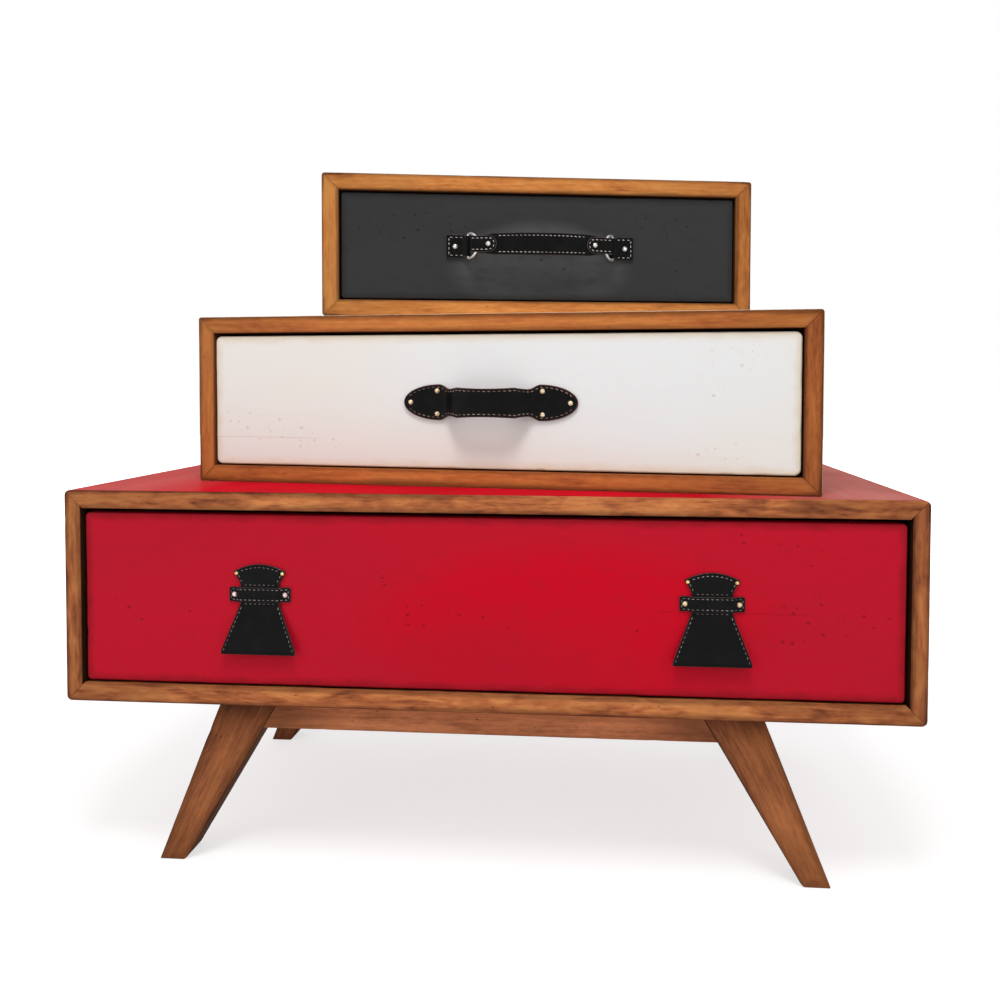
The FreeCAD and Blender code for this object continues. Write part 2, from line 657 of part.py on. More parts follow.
def white_handle():
    """A strap with leaf-shaped ends, bowed out from the drawer between them."""
    face, hide, level = V["drawer_recess"], V["leather"], V["strap_level"]
    surface, length = face - hide, hide + V["shank_depth"]
    places = []
    for side in (-1, 1):
        places.append((side * V["tip_rivet_offset"], surface, level, V["rivet_radius"], V["rivet_rise"], length))
        for up in (-1, 1):
            places.append((side * V["leaf_rivet_offset"], surface, level + up * V["leaf_rivet_rise"],
                           V["rivet_radius"], V["rivet_rise"], length))
    holes = rivets("white_handle_rivets", "middle", places)
    doc.recompute()
    low, high = face - hide / 2, face - V["strap_reach"] + hide / 2
    half, leaf, waist, wide = V["strap_half"], V["leaf_offset"], V["waist_offset"], V["wide_offset"]
    path = [(-half - 1, low), (-V["bow_foot"], low), (-V["bow_top"], high), (V["bow_top"], high),
            (V["bow_foot"], low), (half + 1, low)]
    bow = bent(path, [V["bow_bend"]] * 4, hide).extrude(FreeCAD.Vector(0, 0, 2 * V["leaf_half"] + 2))
    bow.translate(FreeCAD.Vector(0, 0, -V["leaf_half"] - 1))
    tall, slim, broad = V["leaf_half"], V["waist_half"], V["wide_half"]
    upper = [(-half, 0.0), [-half + 0.06 * (half - leaf), 0.28 * tall], (-half + 0.2 * (half - leaf), 0.52 * tall),
             [-half + 0.57 * (half - leaf), 0.865 * tall], (-leaf, tall),
             [-(leaf + waist) / 2, slim + 0.3 * (tall - slim)], (-waist, slim),
             [-(waist + wide) / 2, slim + 0.28 * (broad - slim)], (-wide, broad), [0.0, broad - 0.6]]
    whole = both_ways(upper)
    strap = bow.common(through(closed(mirrored_ring(whole)), face - V["strap_reach"] - 1, face + 1))
    leather_piece("white_handle_strap", frames["middle"], holed(strap, holes, 0, level), 0, S["strap_level"])
    return holes


def charcoal_handle():
    """A bowed grip between two rings, each held to the drawer by a riveted tab."""
    face, hide, wire = V["drawer_recess"], V["leather"], V["ring_wire"]
    level = (layout("upper")["height"] / 2)
    surface, straight = face - hide, V["ring_half_height"] - V["ring_corner"]
    bar = FreeCAD.Vector(-V["ring_offset"], face - V["ring_stand"], 0)
    turn = FreeCAD.Rotation(FreeCAD.Vector(0, 0, 1), -V["ring_angle"])
    fore = bar + turn.multVec(FreeCAD.Vector(V["ring_span"], 0, 0))
    slope = math.radians(V["grip_angle"])
    bore = wire + V["eye_gap"]

    def along(distance):
        return (fore.x + distance * math.cos(slope), fore.y - distance * math.sin(slope))

    spot = along(V["loop_length"] - V["loop_rivet_inset"])
    outer = bore + V["loop_wall"]
    head = (spot[0] - outer * math.sin(slope), spot[1] - outer * math.cos(slope))
    z = level.value
    places = []
    for side in (-1, 1):
        places.append((side * (V["tab_end"] - V["tab_rivet_inset"]), surface, z, V["rivet_radius"],
                       V["rivet_rise"], hide + V["shank_depth"]))
        places.append((-side * head[0], head[1], z, V["rivet_radius"], V["rivet_rise"], 2 * outer,
                       side * V["grip_angle"]))
    holes = rivets("charcoal_handle_rivets", "upper", places)
    doc.recompute()

    plate = Part.makeBox(V["tab_length"], hide, V["tab_height"],
                         FreeCAD.Vector(-V["tab_end"], surface, -V["tab_height"] / 2))
    eye = Part.makeCylinder(bore + V["eye_wall"], 2 * straight, bar - FreeCAD.Vector(0, 0, straight))
    reach = bar.x + V["tab_end"] - V["tab_length"]
    web = Part.makeBox(reach, hide, 2 * straight,
                       FreeCAD.Vector(-V["tab_end"] + V["tab_length"], surface, -straight))
    tab = plate.fuse([eye, web]).cut(Part.makeCylinder(bore, 4 * straight, bar - FreeCAD.Vector(0, 0, 2 * straight)))
    tab = tab.removeSplitter()

    span, tall, corner = V["ring_span"], V["ring_half_height"], V["ring_corner"]
    flat = [FreeCAD.Vector(x, 0, y) for x, y in ((0, -tall), (span, -tall), (span, tall), (0, tall))]
    path = []
    for i, spot_now in enumerate(flat):
        before, after = flat[i - 1], flat[(i + 1) % 4]
        a = spot_now + (before - spot_now).normalize() * corner
        b = spot_now + (after - spot_now).normalize() * corner
        hub = a + (after - spot_now).normalize() * corner
        mid = hub + (spot_now - hub).normalize() * corner
        following = flat[(i + 1) % 4] + (spot_now - flat[(i + 1) % 4]).normalize() * corner
        path += [Part.Arc(a, mid, b).toShape(), Part.LineSegment(b, following).toShape()]
    track = Part.Wire(Part.__sortEdges__(path))
    start = track.Edges[0].valueAt(track.Edges[0].FirstParameter)
    way = track.Edges[0].tangentAt(track.Edges[0].FirstParameter)
    section = Part.Wire(Part.Circle(start, way, wire).toShape())
    ring = track.makePipeShell([section], True, True)
    ring.Placement = FreeCAD.Placement(bar, turn)

    length, wall = V["loop_length"], V["loop_wall"]
    width = V["loop_width"]
    shell = Part.makeBox(length, 2 * outer, width, FreeCAD.Vector(0, -outer, -width / 2)).fuse(
        Part.makeCylinder(outer, width, FreeCAD.Vector(0, 0, -width / 2)))
    hollow = Part.makeBox(length + 1, 2 * bore, width + 2, FreeCAD.Vector(0, -bore, -width / 2 - 1)).fuse(
        Part.makeCylinder(bore, width + 2, FreeCAD.Vector(0, 0, -width / 2 - 1)))
    half = width / 2
    end = closed([(-outer - 1, half), (length - half, half), [length, 0.0], (length - half, -half),
                  (-outer - 1, -half)])
    loop = shell.cut(hollow).common(through(end, -outer - 1, outer + 1))
    loop.Placement = FreeCAD.Placement(fore, FreeCAD.Rotation(FreeCAD.Vector(0, 0, 1), -V["grip_angle"]))

    first, bend = along(V["grip_start"]), along(V["grip_straight"])
    radius = -bend[0] / math.sin(slope)
    peak = (0.0, bend[1] + bend[0] * math.tan(slope))
    grip = bent([first, peak, (-first[0], first[1])], [radius], 2 * bore)
    low, high = V["grip_end_half"], V["grip_mid_half"]
    grip = grip.extrude(FreeCAD.Vector(0, 0, 2 * high + 2))
    grip.translate(FreeCAD.Vector(0, 0, -high - 1))
    edge = [(first[0] - 2, low), (bend[0], low), [0.0, high], (-bend[0], low), (-first[0] + 2, low)]
    ring_of_points = edge + [tuple([p[0], -p[1]]) if isinstance(p, tuple) else [p[0], -p[1]]
                             for p in reversed(edge)]
    grip = grip.common(through(closed(ring_of_points), peak[1] - high, face))

    flip = (FreeCAD.Vector(), FreeCAD.Vector(1, 0, 0))
    for word, side in (("left", 1), ("right", -1)):
        for kind, shape in (("tab", tab), ("loop", loop)):
            turned = shape if side > 0 else shape.mirror(*flip)
            leather_piece("charcoal_handle_%s_%s" % (word, kind), frames["upper"],
                          holed(turned, holes, 0, z), 0, level)
    pair = scattered("charcoal_handle_ring_pair", [ring, ring.mirror(*flip)])
    node(put(pair, frames["upper"], 0, 0, level), "charcoal_handle_rings")
    leather_piece("charcoal_handle_grip", frames["upper"], holed(grip, holes, 0, z), 0, level)
    return holes


for case_name in ("lower", "middle", "upper"):
    case(case_name)
drawer("lower", red_pulls())
drawer("middle", white_handle())
drawer("upper", charcoal_handle())
stand()
node(scattered("screw_set", placed_screws(0.0)), "wood_screws")
doc.recompute()

for item in doc.Objects:
    if "Invalid" in item.State or "Error" in item.State:
        raise ValueError("%s failed: %s" % (item.Label, item.State))
for item in nodes:
    if item.Shape.isNull() or not item.Shape.isValid() or not item.Shape.Solids:
        raise ValueError("%s has no valid solid" % item.Label)

os.makedirs("parts", exist_ok=True)
for item in nodes:
    item.Shape.exportStep("parts/%s.step" % item.Label)
bounds = FreeCAD.BoundBox()
for item in nodes:
    bounds.add(item.Shape.BoundBox)
print("%d sub-parts, %.1f x %.1f x %.1f mm" % (len(nodes), bounds.XLength, bounds.YLength, bounds.ZLength))
print("x %.2f to %.2f, y %.2f to %.2f, z %.2f to %.2f"
      % (bounds.XMin, bounds.XMax, bounds.YMin, bounds.YMax, bounds.ZMin, bounds.ZMax))
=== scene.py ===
"""The looks of a chest of three drawers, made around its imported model.

Three cases of mitred boards stand askew on each other, on a stand with splayed legs. Boards,
drawer fronts, stand, leather handles, rings and rivets are meshes of their own in the place of
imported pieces, and the stitches are added. Drawer boxes, runners, backs and screws keep their
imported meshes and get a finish. Lengths are in metres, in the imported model's axes: x to the
right, y to the back and z up.
"""

from __future__ import annotations

import logging
import zlib
from dataclasses import dataclass, field
from enum import Enum
from functools import lru_cache
from math import atan2, copysign, cos, pi, radians, sin, sqrt, tan
from typing import Callable, Sequence

import bmesh
import bpy
import numpy as np
from mathutils import Matrix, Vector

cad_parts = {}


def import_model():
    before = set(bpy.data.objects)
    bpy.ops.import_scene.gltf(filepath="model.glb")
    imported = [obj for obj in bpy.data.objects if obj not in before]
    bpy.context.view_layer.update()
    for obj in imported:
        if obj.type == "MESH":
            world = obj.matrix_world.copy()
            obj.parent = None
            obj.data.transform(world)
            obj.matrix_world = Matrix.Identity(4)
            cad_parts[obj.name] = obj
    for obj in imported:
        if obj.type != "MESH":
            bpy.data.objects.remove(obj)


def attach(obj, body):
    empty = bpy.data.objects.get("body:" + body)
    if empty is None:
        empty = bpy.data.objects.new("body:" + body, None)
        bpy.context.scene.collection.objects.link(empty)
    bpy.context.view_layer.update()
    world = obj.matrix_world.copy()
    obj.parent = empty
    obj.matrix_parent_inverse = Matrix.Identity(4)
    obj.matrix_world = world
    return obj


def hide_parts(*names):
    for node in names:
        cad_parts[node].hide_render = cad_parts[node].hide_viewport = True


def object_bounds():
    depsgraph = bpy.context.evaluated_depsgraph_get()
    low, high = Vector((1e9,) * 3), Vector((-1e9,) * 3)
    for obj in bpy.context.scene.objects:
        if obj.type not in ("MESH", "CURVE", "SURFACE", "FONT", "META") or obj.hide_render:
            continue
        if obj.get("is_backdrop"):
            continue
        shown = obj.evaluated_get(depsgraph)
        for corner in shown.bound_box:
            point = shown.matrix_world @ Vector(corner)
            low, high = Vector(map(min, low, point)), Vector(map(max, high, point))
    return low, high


log = logging.getLogger("chest")

Array = np.ndarray
Colour = tuple[float, float, float, float]
Pair = tuple[float, float]
Point = tuple[float, float, float]
Change = Callable[[Array], Array]

MM = 0.001
MERGE = 1e-6  # points nearer than this are one point
SHARP = 0.61  # radians between faces that meet in a crease
WHITE = (1.0, 1.0, 1.0, 1.0)


def tone(red: int, green: int, blue: int) -> Colour:
    """The linear colour of a shade given from 0 to 255 as a screen shows it."""
    parts = [((c / 255 + 0.055) / 1.055) ** 2.4 if c > 10 else c / 255 / 12.92 for c in (red, green, blue)]
    return (*parts, 1.0)


def scaled(colour: Colour, by: float) -> Colour:
    """A colour made lighter or darker."""
    return (*(part * by for part in colour[:3]), 1.0)


def seeded(name: str) -> np.random.Generator:
    """Random numbers that are the same for a name in every run."""
    return np.random.default_rng(zlib.crc32(name.encode()))


def unit(vectors: Array) -> Array:
    """Vectors made one long."""
    return vectors / np.linalg.norm(vectors, axis=-1, keepdims=True)


def joined(*parts: Array | float) -> Array:
    """Vectors made of their parts, once these are spread over one grid."""
    return np.stack(np.broadcast_arrays(*parts), axis=-1)


def rise(at: Array, start: float, end: float) -> Array:
    """0 at start and 1 at end, evenly between them and level past them."""
    return np.clip((at - start) / (end - start), 0, 1)


def eased(way: Array) -> Array:
    """A way from 0 to 1 that starts and ends level: w^2 (3 - 2w)."""
    return way**2 * (3 - 2 * way)


def spread(count: int) -> Array:
    """Places from -1 to 1, close together at both ends: -cos of even angles."""
    return -np.cos(np.linspace(0, pi, count))


def lengths_along(line: Array) -> Array:
    """The way along a line to each of its points."""
    return np.concatenate([[0], np.cumsum(np.linalg.norm(np.diff(line, axis=0), axis=1))])


def at_places(places: Array, measure: Array, line: Array) -> Array:
    """Points of a line at places on it, where measure is the place of each known point."""
    return joined(*(np.interp(places, measure, column) for column in line.T))


def right_of(line: Array) -> Array:
    """Directions square to a line in a plane, on its right-hand side."""
    way = unit(np.gradient(line, axis=0))
    return joined(way[:, 1], -way[:, 0])


@dataclass(frozen=True)
class Place:
    """A case's own axes: x to the right, y to the back and z up from its underside."""

    origin: Point = (0.0, 0.0, 0.0)  # middle of the case's lower front edge
    turn: float = 0.0  # angle about z, in radians

    def axes(self) -> Array:
        """The case's x, y and z directions, as rows."""
        c, s = cos(self.turn), sin(self.turn)
        return np.array([[c, s, 0.0], [-s, c, 0.0], [0.0, 0.0, 1.0]])

    def out(self, points: Array) -> Array:
        """Points of the case in the model's axes."""
        return points @ self.axes() + np.array(self.origin)

    def into(self, points: Array) -> Array:
        """Points of the model in the case's axes."""
        return (points - np.array(self.origin)) @ self.axes().T


def node_points(node: str) -> Array:
    """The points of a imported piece."""
    mesh = bpy.data.objects[node].data
    flat = np.empty(len(mesh.vertices) * 3, np.float32)
    mesh.vertices.foreach_get("co", flat)
    return flat.reshape(-1, 3).astype(float)


@dataclass(frozen=True)
class Span:
    """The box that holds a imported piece, along a case's axes."""

    low: Array
    high: Array

    @classmethod
    def of(cls, node: str, place: Place = Place()) -> Span:
        """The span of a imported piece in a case's axes."""
        points = place.into(node_points(node))
        return cls(points.min(0), points.max(0))

    @property
    def size(self) -> Array:
        """Width, depth and height."""
        return self.high - self.low

    @property
    def middle(self) -> Array:
        """The box's centre."""
        return (self.high + self.low) / 2


@dataclass
class Patch:
    """A grid of points, with the marks that its material reads at each of them."""

    points: Array  # rows by columns by 3
    marks: dict[str, Array] = field(default_factory=dict)  # a number or a vector at each, by name

    def each(self, change: Change) -> Patch:
        """A patch whose points and marks are all changed in the same way."""
        return Patch(change(self.points), {name: change(mark) for name, mark in self.marks.items()})

    def ringed(self) -> Patch:
        """The patch with its first column again as its last, so that its columns meet."""
        return self.each(lambda grid: np.concatenate([grid, grid[:, :1]], axis=1))

    def capped(self) -> Patch:
        """The patch with a row at each end whose points all lie in the middle of that end."""

        def shut(grid: Array) -> Array:
            """The grid with both rows."""
            first, last = (row * 0 + row.mean(1, keepdims=True) for row in (grid[:1], grid[-1:]))
            return np.concatenate([first, grid, last])

        return self.each(shut)

    def quads(self, first: int) -> Array:
        """Corner numbers of the faces between neighbouring points, counted from first."""
        rows, columns = self.points.shape[:2]
        index = first + np.arange(rows * columns).reshape(rows, columns)
        return joined(index[:-1, :-1], index[:-1, 1:], index[1:, 1:], index[1:, :-1]).reshape(-1, 4)


def make_piece(name: str, patches: Sequence[Patch], finish: Finish, body: str) -> bpy.types.Object:
    """Join patches into one closed mesh at the origin, whose faces point outwards.

    Points that fall together are merged, which closes seams and poles, and each shell's
    faces are then turned outwards.

    Args:
        name: The piece's name.
        patches: Its grids, in the model's axes.
        finish: Its finish.
        body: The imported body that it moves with.

    Returns:
        The piece.
    """
    sizes = [patch.points.shape[0] * patch.points.shape[1] for patch in patches]
    firsts = np.concatenate([[0], np.cumsum(sizes)[:-1]]).astype(int)
    points = np.concatenate([patch.points.reshape(-1, 3) for patch in patches])
    quads = np.concatenate([patch.quads(first) for patch, first in zip(patches, firsts)])
    mesh = bpy.data.meshes.new(name)
    mesh.from_pydata(points.tolist(), [], quads.tolist())
    for mark in patches[0].marks:
        values = np.concatenate([patch.marks[mark].reshape(size, -1) for patch, size in zip(patches, sizes)])
        is_vector = values.shape[1] == 3
        layer = mesh.attributes.new(mark, "FLOAT_VECTOR" if is_vector else "FLOAT", "POINT")
        layer.data.foreach_set("vector" if is_vector else "value", values.astype(np.float32).ravel())
    shell = bmesh.new()
    shell.from_mesh(mesh)
    bmesh.ops.remove_doubles(shell, verts=shell.verts, dist=MERGE)
    bmesh.ops.dissolve_degenerate(shell, edges=shell.edges, dist=MERGE / 10)
    bmesh.ops.recalc_face_normals(shell, faces=shell.faces)
    shell.to_mesh(mesh)
    shell.free()
    mesh.shade_smooth()
    mesh.set_sharp_from_angle(angle=SHARP)
    mesh.materials.append(finish.material())
    piece = bpy.data.objects.new(name, mesh)
    bpy.context.scene.collection.objects.link(piece)
    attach(piece, body)
    log.info("made %s: %d faces", name, len(mesh.polygons))
    return piece


def replace_node(node: str, patches: Sequence[Patch], finish: Finish, body: str, slot: str) -> None:
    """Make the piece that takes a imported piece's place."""
    piece = make_piece(f"{node}_dressed", patches, finish, body)
    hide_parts(node)


def dress_node(node: str, finish: Finish) -> None:
    """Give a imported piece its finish."""
    mesh = bpy.data.objects[node].data
    mesh.materials.clear()
    mesh.materials.append(finish.material())
    log.info("dressed %s", node)


def sum_of(operation: str, flip: bool = False) -> Callable[[Value, Term], Value]:
    """A method of Value that adds one Math node. With flip the other value comes first."""
    return lambda self, other: self.maths(operation, other, flip)


class Value:
    """A socket in the middle of shader sums. Arithmetic on it adds Math nodes."""

    def __init__(self, nodes: Nodes, socket: bpy.types.NodeSocket) -> None:
        """Keep a socket and its tree."""
        self.nodes = nodes
        self.socket = socket

    def maths(self, operation: str, other: Term = 0.0, flip: bool = False) -> Value:
        """The result of one Math node on this value and another, or the other way round."""
        first, second = (other, self) if flip else (self, other)
        return self.nodes.node("ShaderNodeMath", {"operation": operation}, {0: first, 1: second})

    __add__, __radd__ = sum_of("ADD"), sum_of("ADD", flip=True)
    __sub__, __rsub__ = sum_of("SUBTRACT"), sum_of("SUBTRACT", flip=True)
    __mul__, __rmul__ = sum_of("MULTIPLY"), sum_of("MULTIPLY", flip=True)
    __truediv__, __rtruediv__ = sum_of("DIVIDE"), sum_of("DIVIDE", flip=True)
    __pow__, __rpow__ = sum_of("POWER"), sum_of("POWER", flip=True)
    at_most, at_least = sum_of("MINIMUM"), sum_of("MAXIMUM")

    def step(self, start: float, end: float) -> Value:
        """A smooth rise from 0 at start to 1 at end, or a fall where end is below start."""
        low, high, rises = (start, end, (0.0, 1.0)) if start < end else (end, start, (1.0, 0.0))
        sockets = {0: self, 1: low, 2: high, 3: rises[0], 4: rises[1]}
        return self.nodes.node("ShaderNodeMapRange", {"interpolation_type": "SMOOTHSTEP"}, sockets)

    def other(self, output: int | str) -> Value:
        """Another output of the same node."""
        return Value(self.nodes, self.socket.node.outputs[output])


Term = Value | float
Sockets = dict[str, Value | float | Colour]


class Nodes:
    """A tree of nodes, and the ways to add nodes to it."""

    def __init__(self, tree: bpy.types.NodeTree) -> None:
        """Keep the tree."""
        self.tree = tree

    def node(
        self,
        kind: str,
        settings: dict[str, object] | None = None,
        sockets: dict[int | str, object] | None = None,
        output: int | str = 0,
    ) -> Value | None:
        """Add a node.

        Args:
            kind: The node's type.
            settings: Its properties, or the stops of a ramp as (place, colour) pairs.
            sockets: Values or links of its inputs, by number or name.
            output: The output to return.

        Returns:
            The chosen output, or None for a node that has none.
        """
        made = self.tree.nodes.new(kind)
        for name, value in (settings or {}).items():
            if name == "stops":
                self.set_stops(made.color_ramp, value)
            else:
                setattr(made, name, value)
        for key, value in (sockets or {}).items():
            self.feed(made.inputs[key], value)
        return Value(self, made.outputs[output]) if made.outputs else None

    def set_stops(self, ramp: bpy.types.ColorRamp, stops: Sequence[tuple[float, Colour]]) -> None:
        """Give a ramp its stops."""
        while len(ramp.elements) < len(stops):
            ramp.elements.new(1.0)
        for element, (place, colour) in zip(ramp.elements, stops):
            element.position, element.color = place, colour

    def feed(self, socket: bpy.types.NodeSocket, value: object) -> None:
        """Link a value to a socket, or set the socket to a number, vector or colour."""
        if isinstance(value, Value):
            self.tree.links.new(value.socket, socket)
        else:
            socket.default_value = value

    def here(self) -> Value:
        """The place on the object, in its own axes."""
        return self.node("ShaderNodeTexCoord", output="Object")

    def mark(self, name: str, output: str = "Fac") -> Value:
        """What a piece's mesh says at each point under a name."""
        return self.node("ShaderNodeAttribute", {"attribute_name": name}, output=output)

    def parts(self, vector: Value) -> tuple[Value, Value, Value]:
        """The three numbers of a vector."""
        x = self.node("ShaderNodeSeparateXYZ", sockets={0: vector})
        return x, x.other(1), x.other(2)

    def mix(self, first: object, second: object, share: Term) -> Value:
        """Two colours blended, with share as the second one's part."""
        return self.node("ShaderNodeMix", {"data_type": "RGBA"}, {0: share, 6: first, 7: second}, output=2)

    def layered(self, colour: object, *coats: tuple[object, Term]) -> Value:
        """A colour with others laid over it in turn, each with its share."""
        for coat, share in coats:
            colour = self.mix(colour, coat, share)
        return colour

    def stretched(self, vector: Value, scale: Point) -> Value:
        """A vector multiplied part by part."""
        return self.node("ShaderNodeVectorMath", {"operation": "MULTIPLY"}, {0: vector, 1: scale})

    def noise(self, vector: Value, scale: Point, detail: float = 2.0, bend: float = 0.0) -> Value:
        """Cloudy noise from 0 to 1, with scale as the clouds in a metre along each axis."""
        place = self.stretched(vector, scale)
        sockets = {"Vector": place, "Scale": 1.0, "Detail": detail, "Distortion": bend}
        return self.node("ShaderNodeTexNoise", sockets=sockets)

    def spots(self, vector: Value, scale: Point, radius: float, share: float, space: str = "3D") -> Value:
        """Scattered round spots.

        Args:
            vector: Where the spots lie.
            scale: Cells in a metre along each axis. A cell holds one spot or none.
            radius: A spot's radius as a share of its cell.
            share: Part of the cells that have a spot.
            space: "2D" for spots in the first two axes' plane.

        Returns:
            The spots' mask, 1 inside and 0 outside.
        """
        cells = {"Vector": self.stretched(vector, scale), "Scale": 1.0}
        away = self.node("ShaderNodeTexVoronoi", {"voronoi_dimensions": space}, cells, "Distance")
        picked, size, _ = self.parts(away.other("Color"))
        near = (radius * (0.5 + size) - away).step(0.0, radius * 0.35)
        return near * picked.step(share + 0.01, share - 0.01)

    def bump(self, height: Value, distance: float) -> Value:
        """A normal bent by a height that runs from 0 to 1 over a real distance."""
        return self.node("ShaderNodeBump", sockets={"Strength": 1.0, "Distance": distance, "Height": height})

    def seen(self) -> Value:
        """A mask of the rays that see the background: the camera's, mirrored or let through."""
        rays = self.node("ShaderNodeLightPath", output="Is Camera Ray")
        return rays.at_least(rays.other("Is Glossy Ray")).at_least(rays.other("Is Transmission Ray"))

    def either(self, share: Value, first: Value, second: Value) -> Value:
        """One of two shaders, the second where share is 1."""
        return self.node("ShaderNodeMixShader", sockets={0: share, 1: first, 2: second})


@dataclass(frozen=True)
class Finish:
    """What all finishes share: a name, and one Principled surface."""

    name: str

    @lru_cache
    def material(self) -> bpy.types.Material:
        """The finish as a material."""
        material = bpy.data.materials.new(self.name)
        material.use_nodes = True
        shader = Nodes(material.node_tree)
        surface = next(n for n in shader.tree.nodes if n.type == "BSDF_PRINCIPLED")
        for socket, value in self.surface(shader).items():
            shader.feed(surface.inputs[socket.replace("_", " ")], value)
        return material

    def surface(self, shader: Nodes) -> Sockets:
        """The surface's sockets, by name."""
        raise NotImplementedError

    def coated(self, sockets: Sequence[object], coat: Term, rough: float, specular: float = 0.0) -> Sockets:
        """The sockets for a colour, a roughness and a normal under a clear coat."""
        names = ("Base_Color", "Roughness", "Normal", "Coat_Weight", "Coat_Roughness", "Specular_IOR_Level")
        return dict(zip(names, (*sockets, coat, rough, specular)))


class Grain(Enum):
    """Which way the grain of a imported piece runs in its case, as turns about x, y and z."""

    SIDEWAYS = (0.0, 0.0, 0.0)
    DEEP = (0.0, 0.0, pi / 2)
    UPRIGHT = (0.0, pi / 2, 0.0)


LINE_SHADE = 0.76  # how dark stain is right on an edge, from 0 to 1
PORE_SHADE = 0.36  # how dark it is in the pores
SPECK_SHADE = 0.6  # how dark a speck is


@dataclass(frozen=True)
class Rim:
    """How stain gathers along an edge. Some rims lay painted shade as well: over the legs' inner faces and
    tops, and beside the drawer openings.
    """

    line: float  # width of the dark line right on the edge
    fade: float  # how far the darkening reaches in from the edge
    strength: float  # how dark it gets, from 0 to 1

    def shade(self, gap: Value, blotch: Value) -> Value:
        """How dark the stain is at a distance from the edge, where a noise makes it waver."""
        line = (gap + blotch * self.line).step(self.line * 1.9, self.line * 0.7) * LINE_SHADE
        soft = (gap - (blotch - 0.5) * self.fade * 1.6).step(self.fade, 0.0) * self.strength
        return line.at_least(soft)


@dataclass(frozen=True)
class StainedWood(Finish):
    """Fine-grained timber under a brown stain that has gathered along its edges.

    The marks it reads are "grain", a place in the board with x along the fibres, "edges", the
    distances to three of the board's edges, one rim for each, and "plank", how much paler the
    board's timber is.
    """

    light: Colour
    middle: Colour
    dark: Colour  # the tone of streaks and of the darkened edges
    rims: tuple[Rim, Rim, Rim]
    smudged: float = 0.25  # darkness of the smudges of old stain
    ends: Rim = Rim(0.1 * MM, 0.12, 0.4)  # the broad darkening at the third edge
    polish: float = 0.08
    mottled: float = 0.1  # how much patches of a few centimetres differ
    specked: float = 0.48

    def layers(self, shader: Nodes) -> tuple[Value, Value, Value]:
        """Colour, roughness and height of the timber.

        Args:
            shader: The material's nodes.

        Returns:
            The three.
        """
        at = shader.mark("grain", "Vector")
        _, across, depth = shader.parts(at)
        fibre = shader.noise(at, (24, 700, 700), detail=3)
        figure = shader.noise(at, (4.5, 75, 75), detail=3, bend=0.8)
        blotch = shader.noise(at, (8, 28, 28), detail=4, bend=0.4)
        growth = ((across + depth) * 700 + figure * 30).maths("SINE") * 0.5 + 0.5
        mottle = shader.noise(at, (70, 260, 260), detail=4)
        pale = figure * 0.34 + blotch * 0.62 + fibre * 0.16 + growth * 0.05 + mottle * 0.26
        pale = pale + shader.mark("plank") - 0.215
        pale = pale + (shader.noise(at, (24, 80, 80), detail=3, bend=0.6) - 0.5) * self.mottled
        stops = [(0.26, self.dark), (0.47, self.middle), (0.66, self.light)]
        colour = shader.node("ShaderNodeValToRGB", {"stops": stops}, {0: pale})
        pores = shader.noise(at, (160, 900, 900), detail=2)
        smudge = shader.noise(at, (6, 26, 26), detail=4).step(0.58, 0.74)
        darkness = (pores.step(0.6, 0.78) * PORE_SHADE).at_least(smudge * self.smudged)
        gaps = shader.parts(shader.mark("edges", "Vector"))
        for rim, gap in zip((*self.rims, self.ends), (*gaps, gaps[2])):
            darkness = darkness.at_least(rim.shade(gap, blotch))
        specked = shader.noise(at, (9, 24, 24)).step(0.94 - self.specked, 1.06 - self.specked)
        specks = shader.spots(at, (90, 150, 150), 0.13, 0.35) * specked
        darkness = darkness.at_least(specks * SPECK_SHADE)
        colour = shader.mix(colour, scaled(self.dark, 0.16), darkness)
        rough = 0.34 + fibre * 0.14 + darkness * 0.1
        height = 0.5 + fibre * 0.3 - pores.step(0.6, 0.74) * 0.2 - specks * 0.5
        return colour, rough, height

    def surface(self, shader: Nodes) -> Sockets:
        """The surface's sockets, by name."""
        colour, rough, height = self.layers(shader)
        return self.coated((colour, rough, shader.bump(height, 0.12 * MM)), self.polish, 0.3)


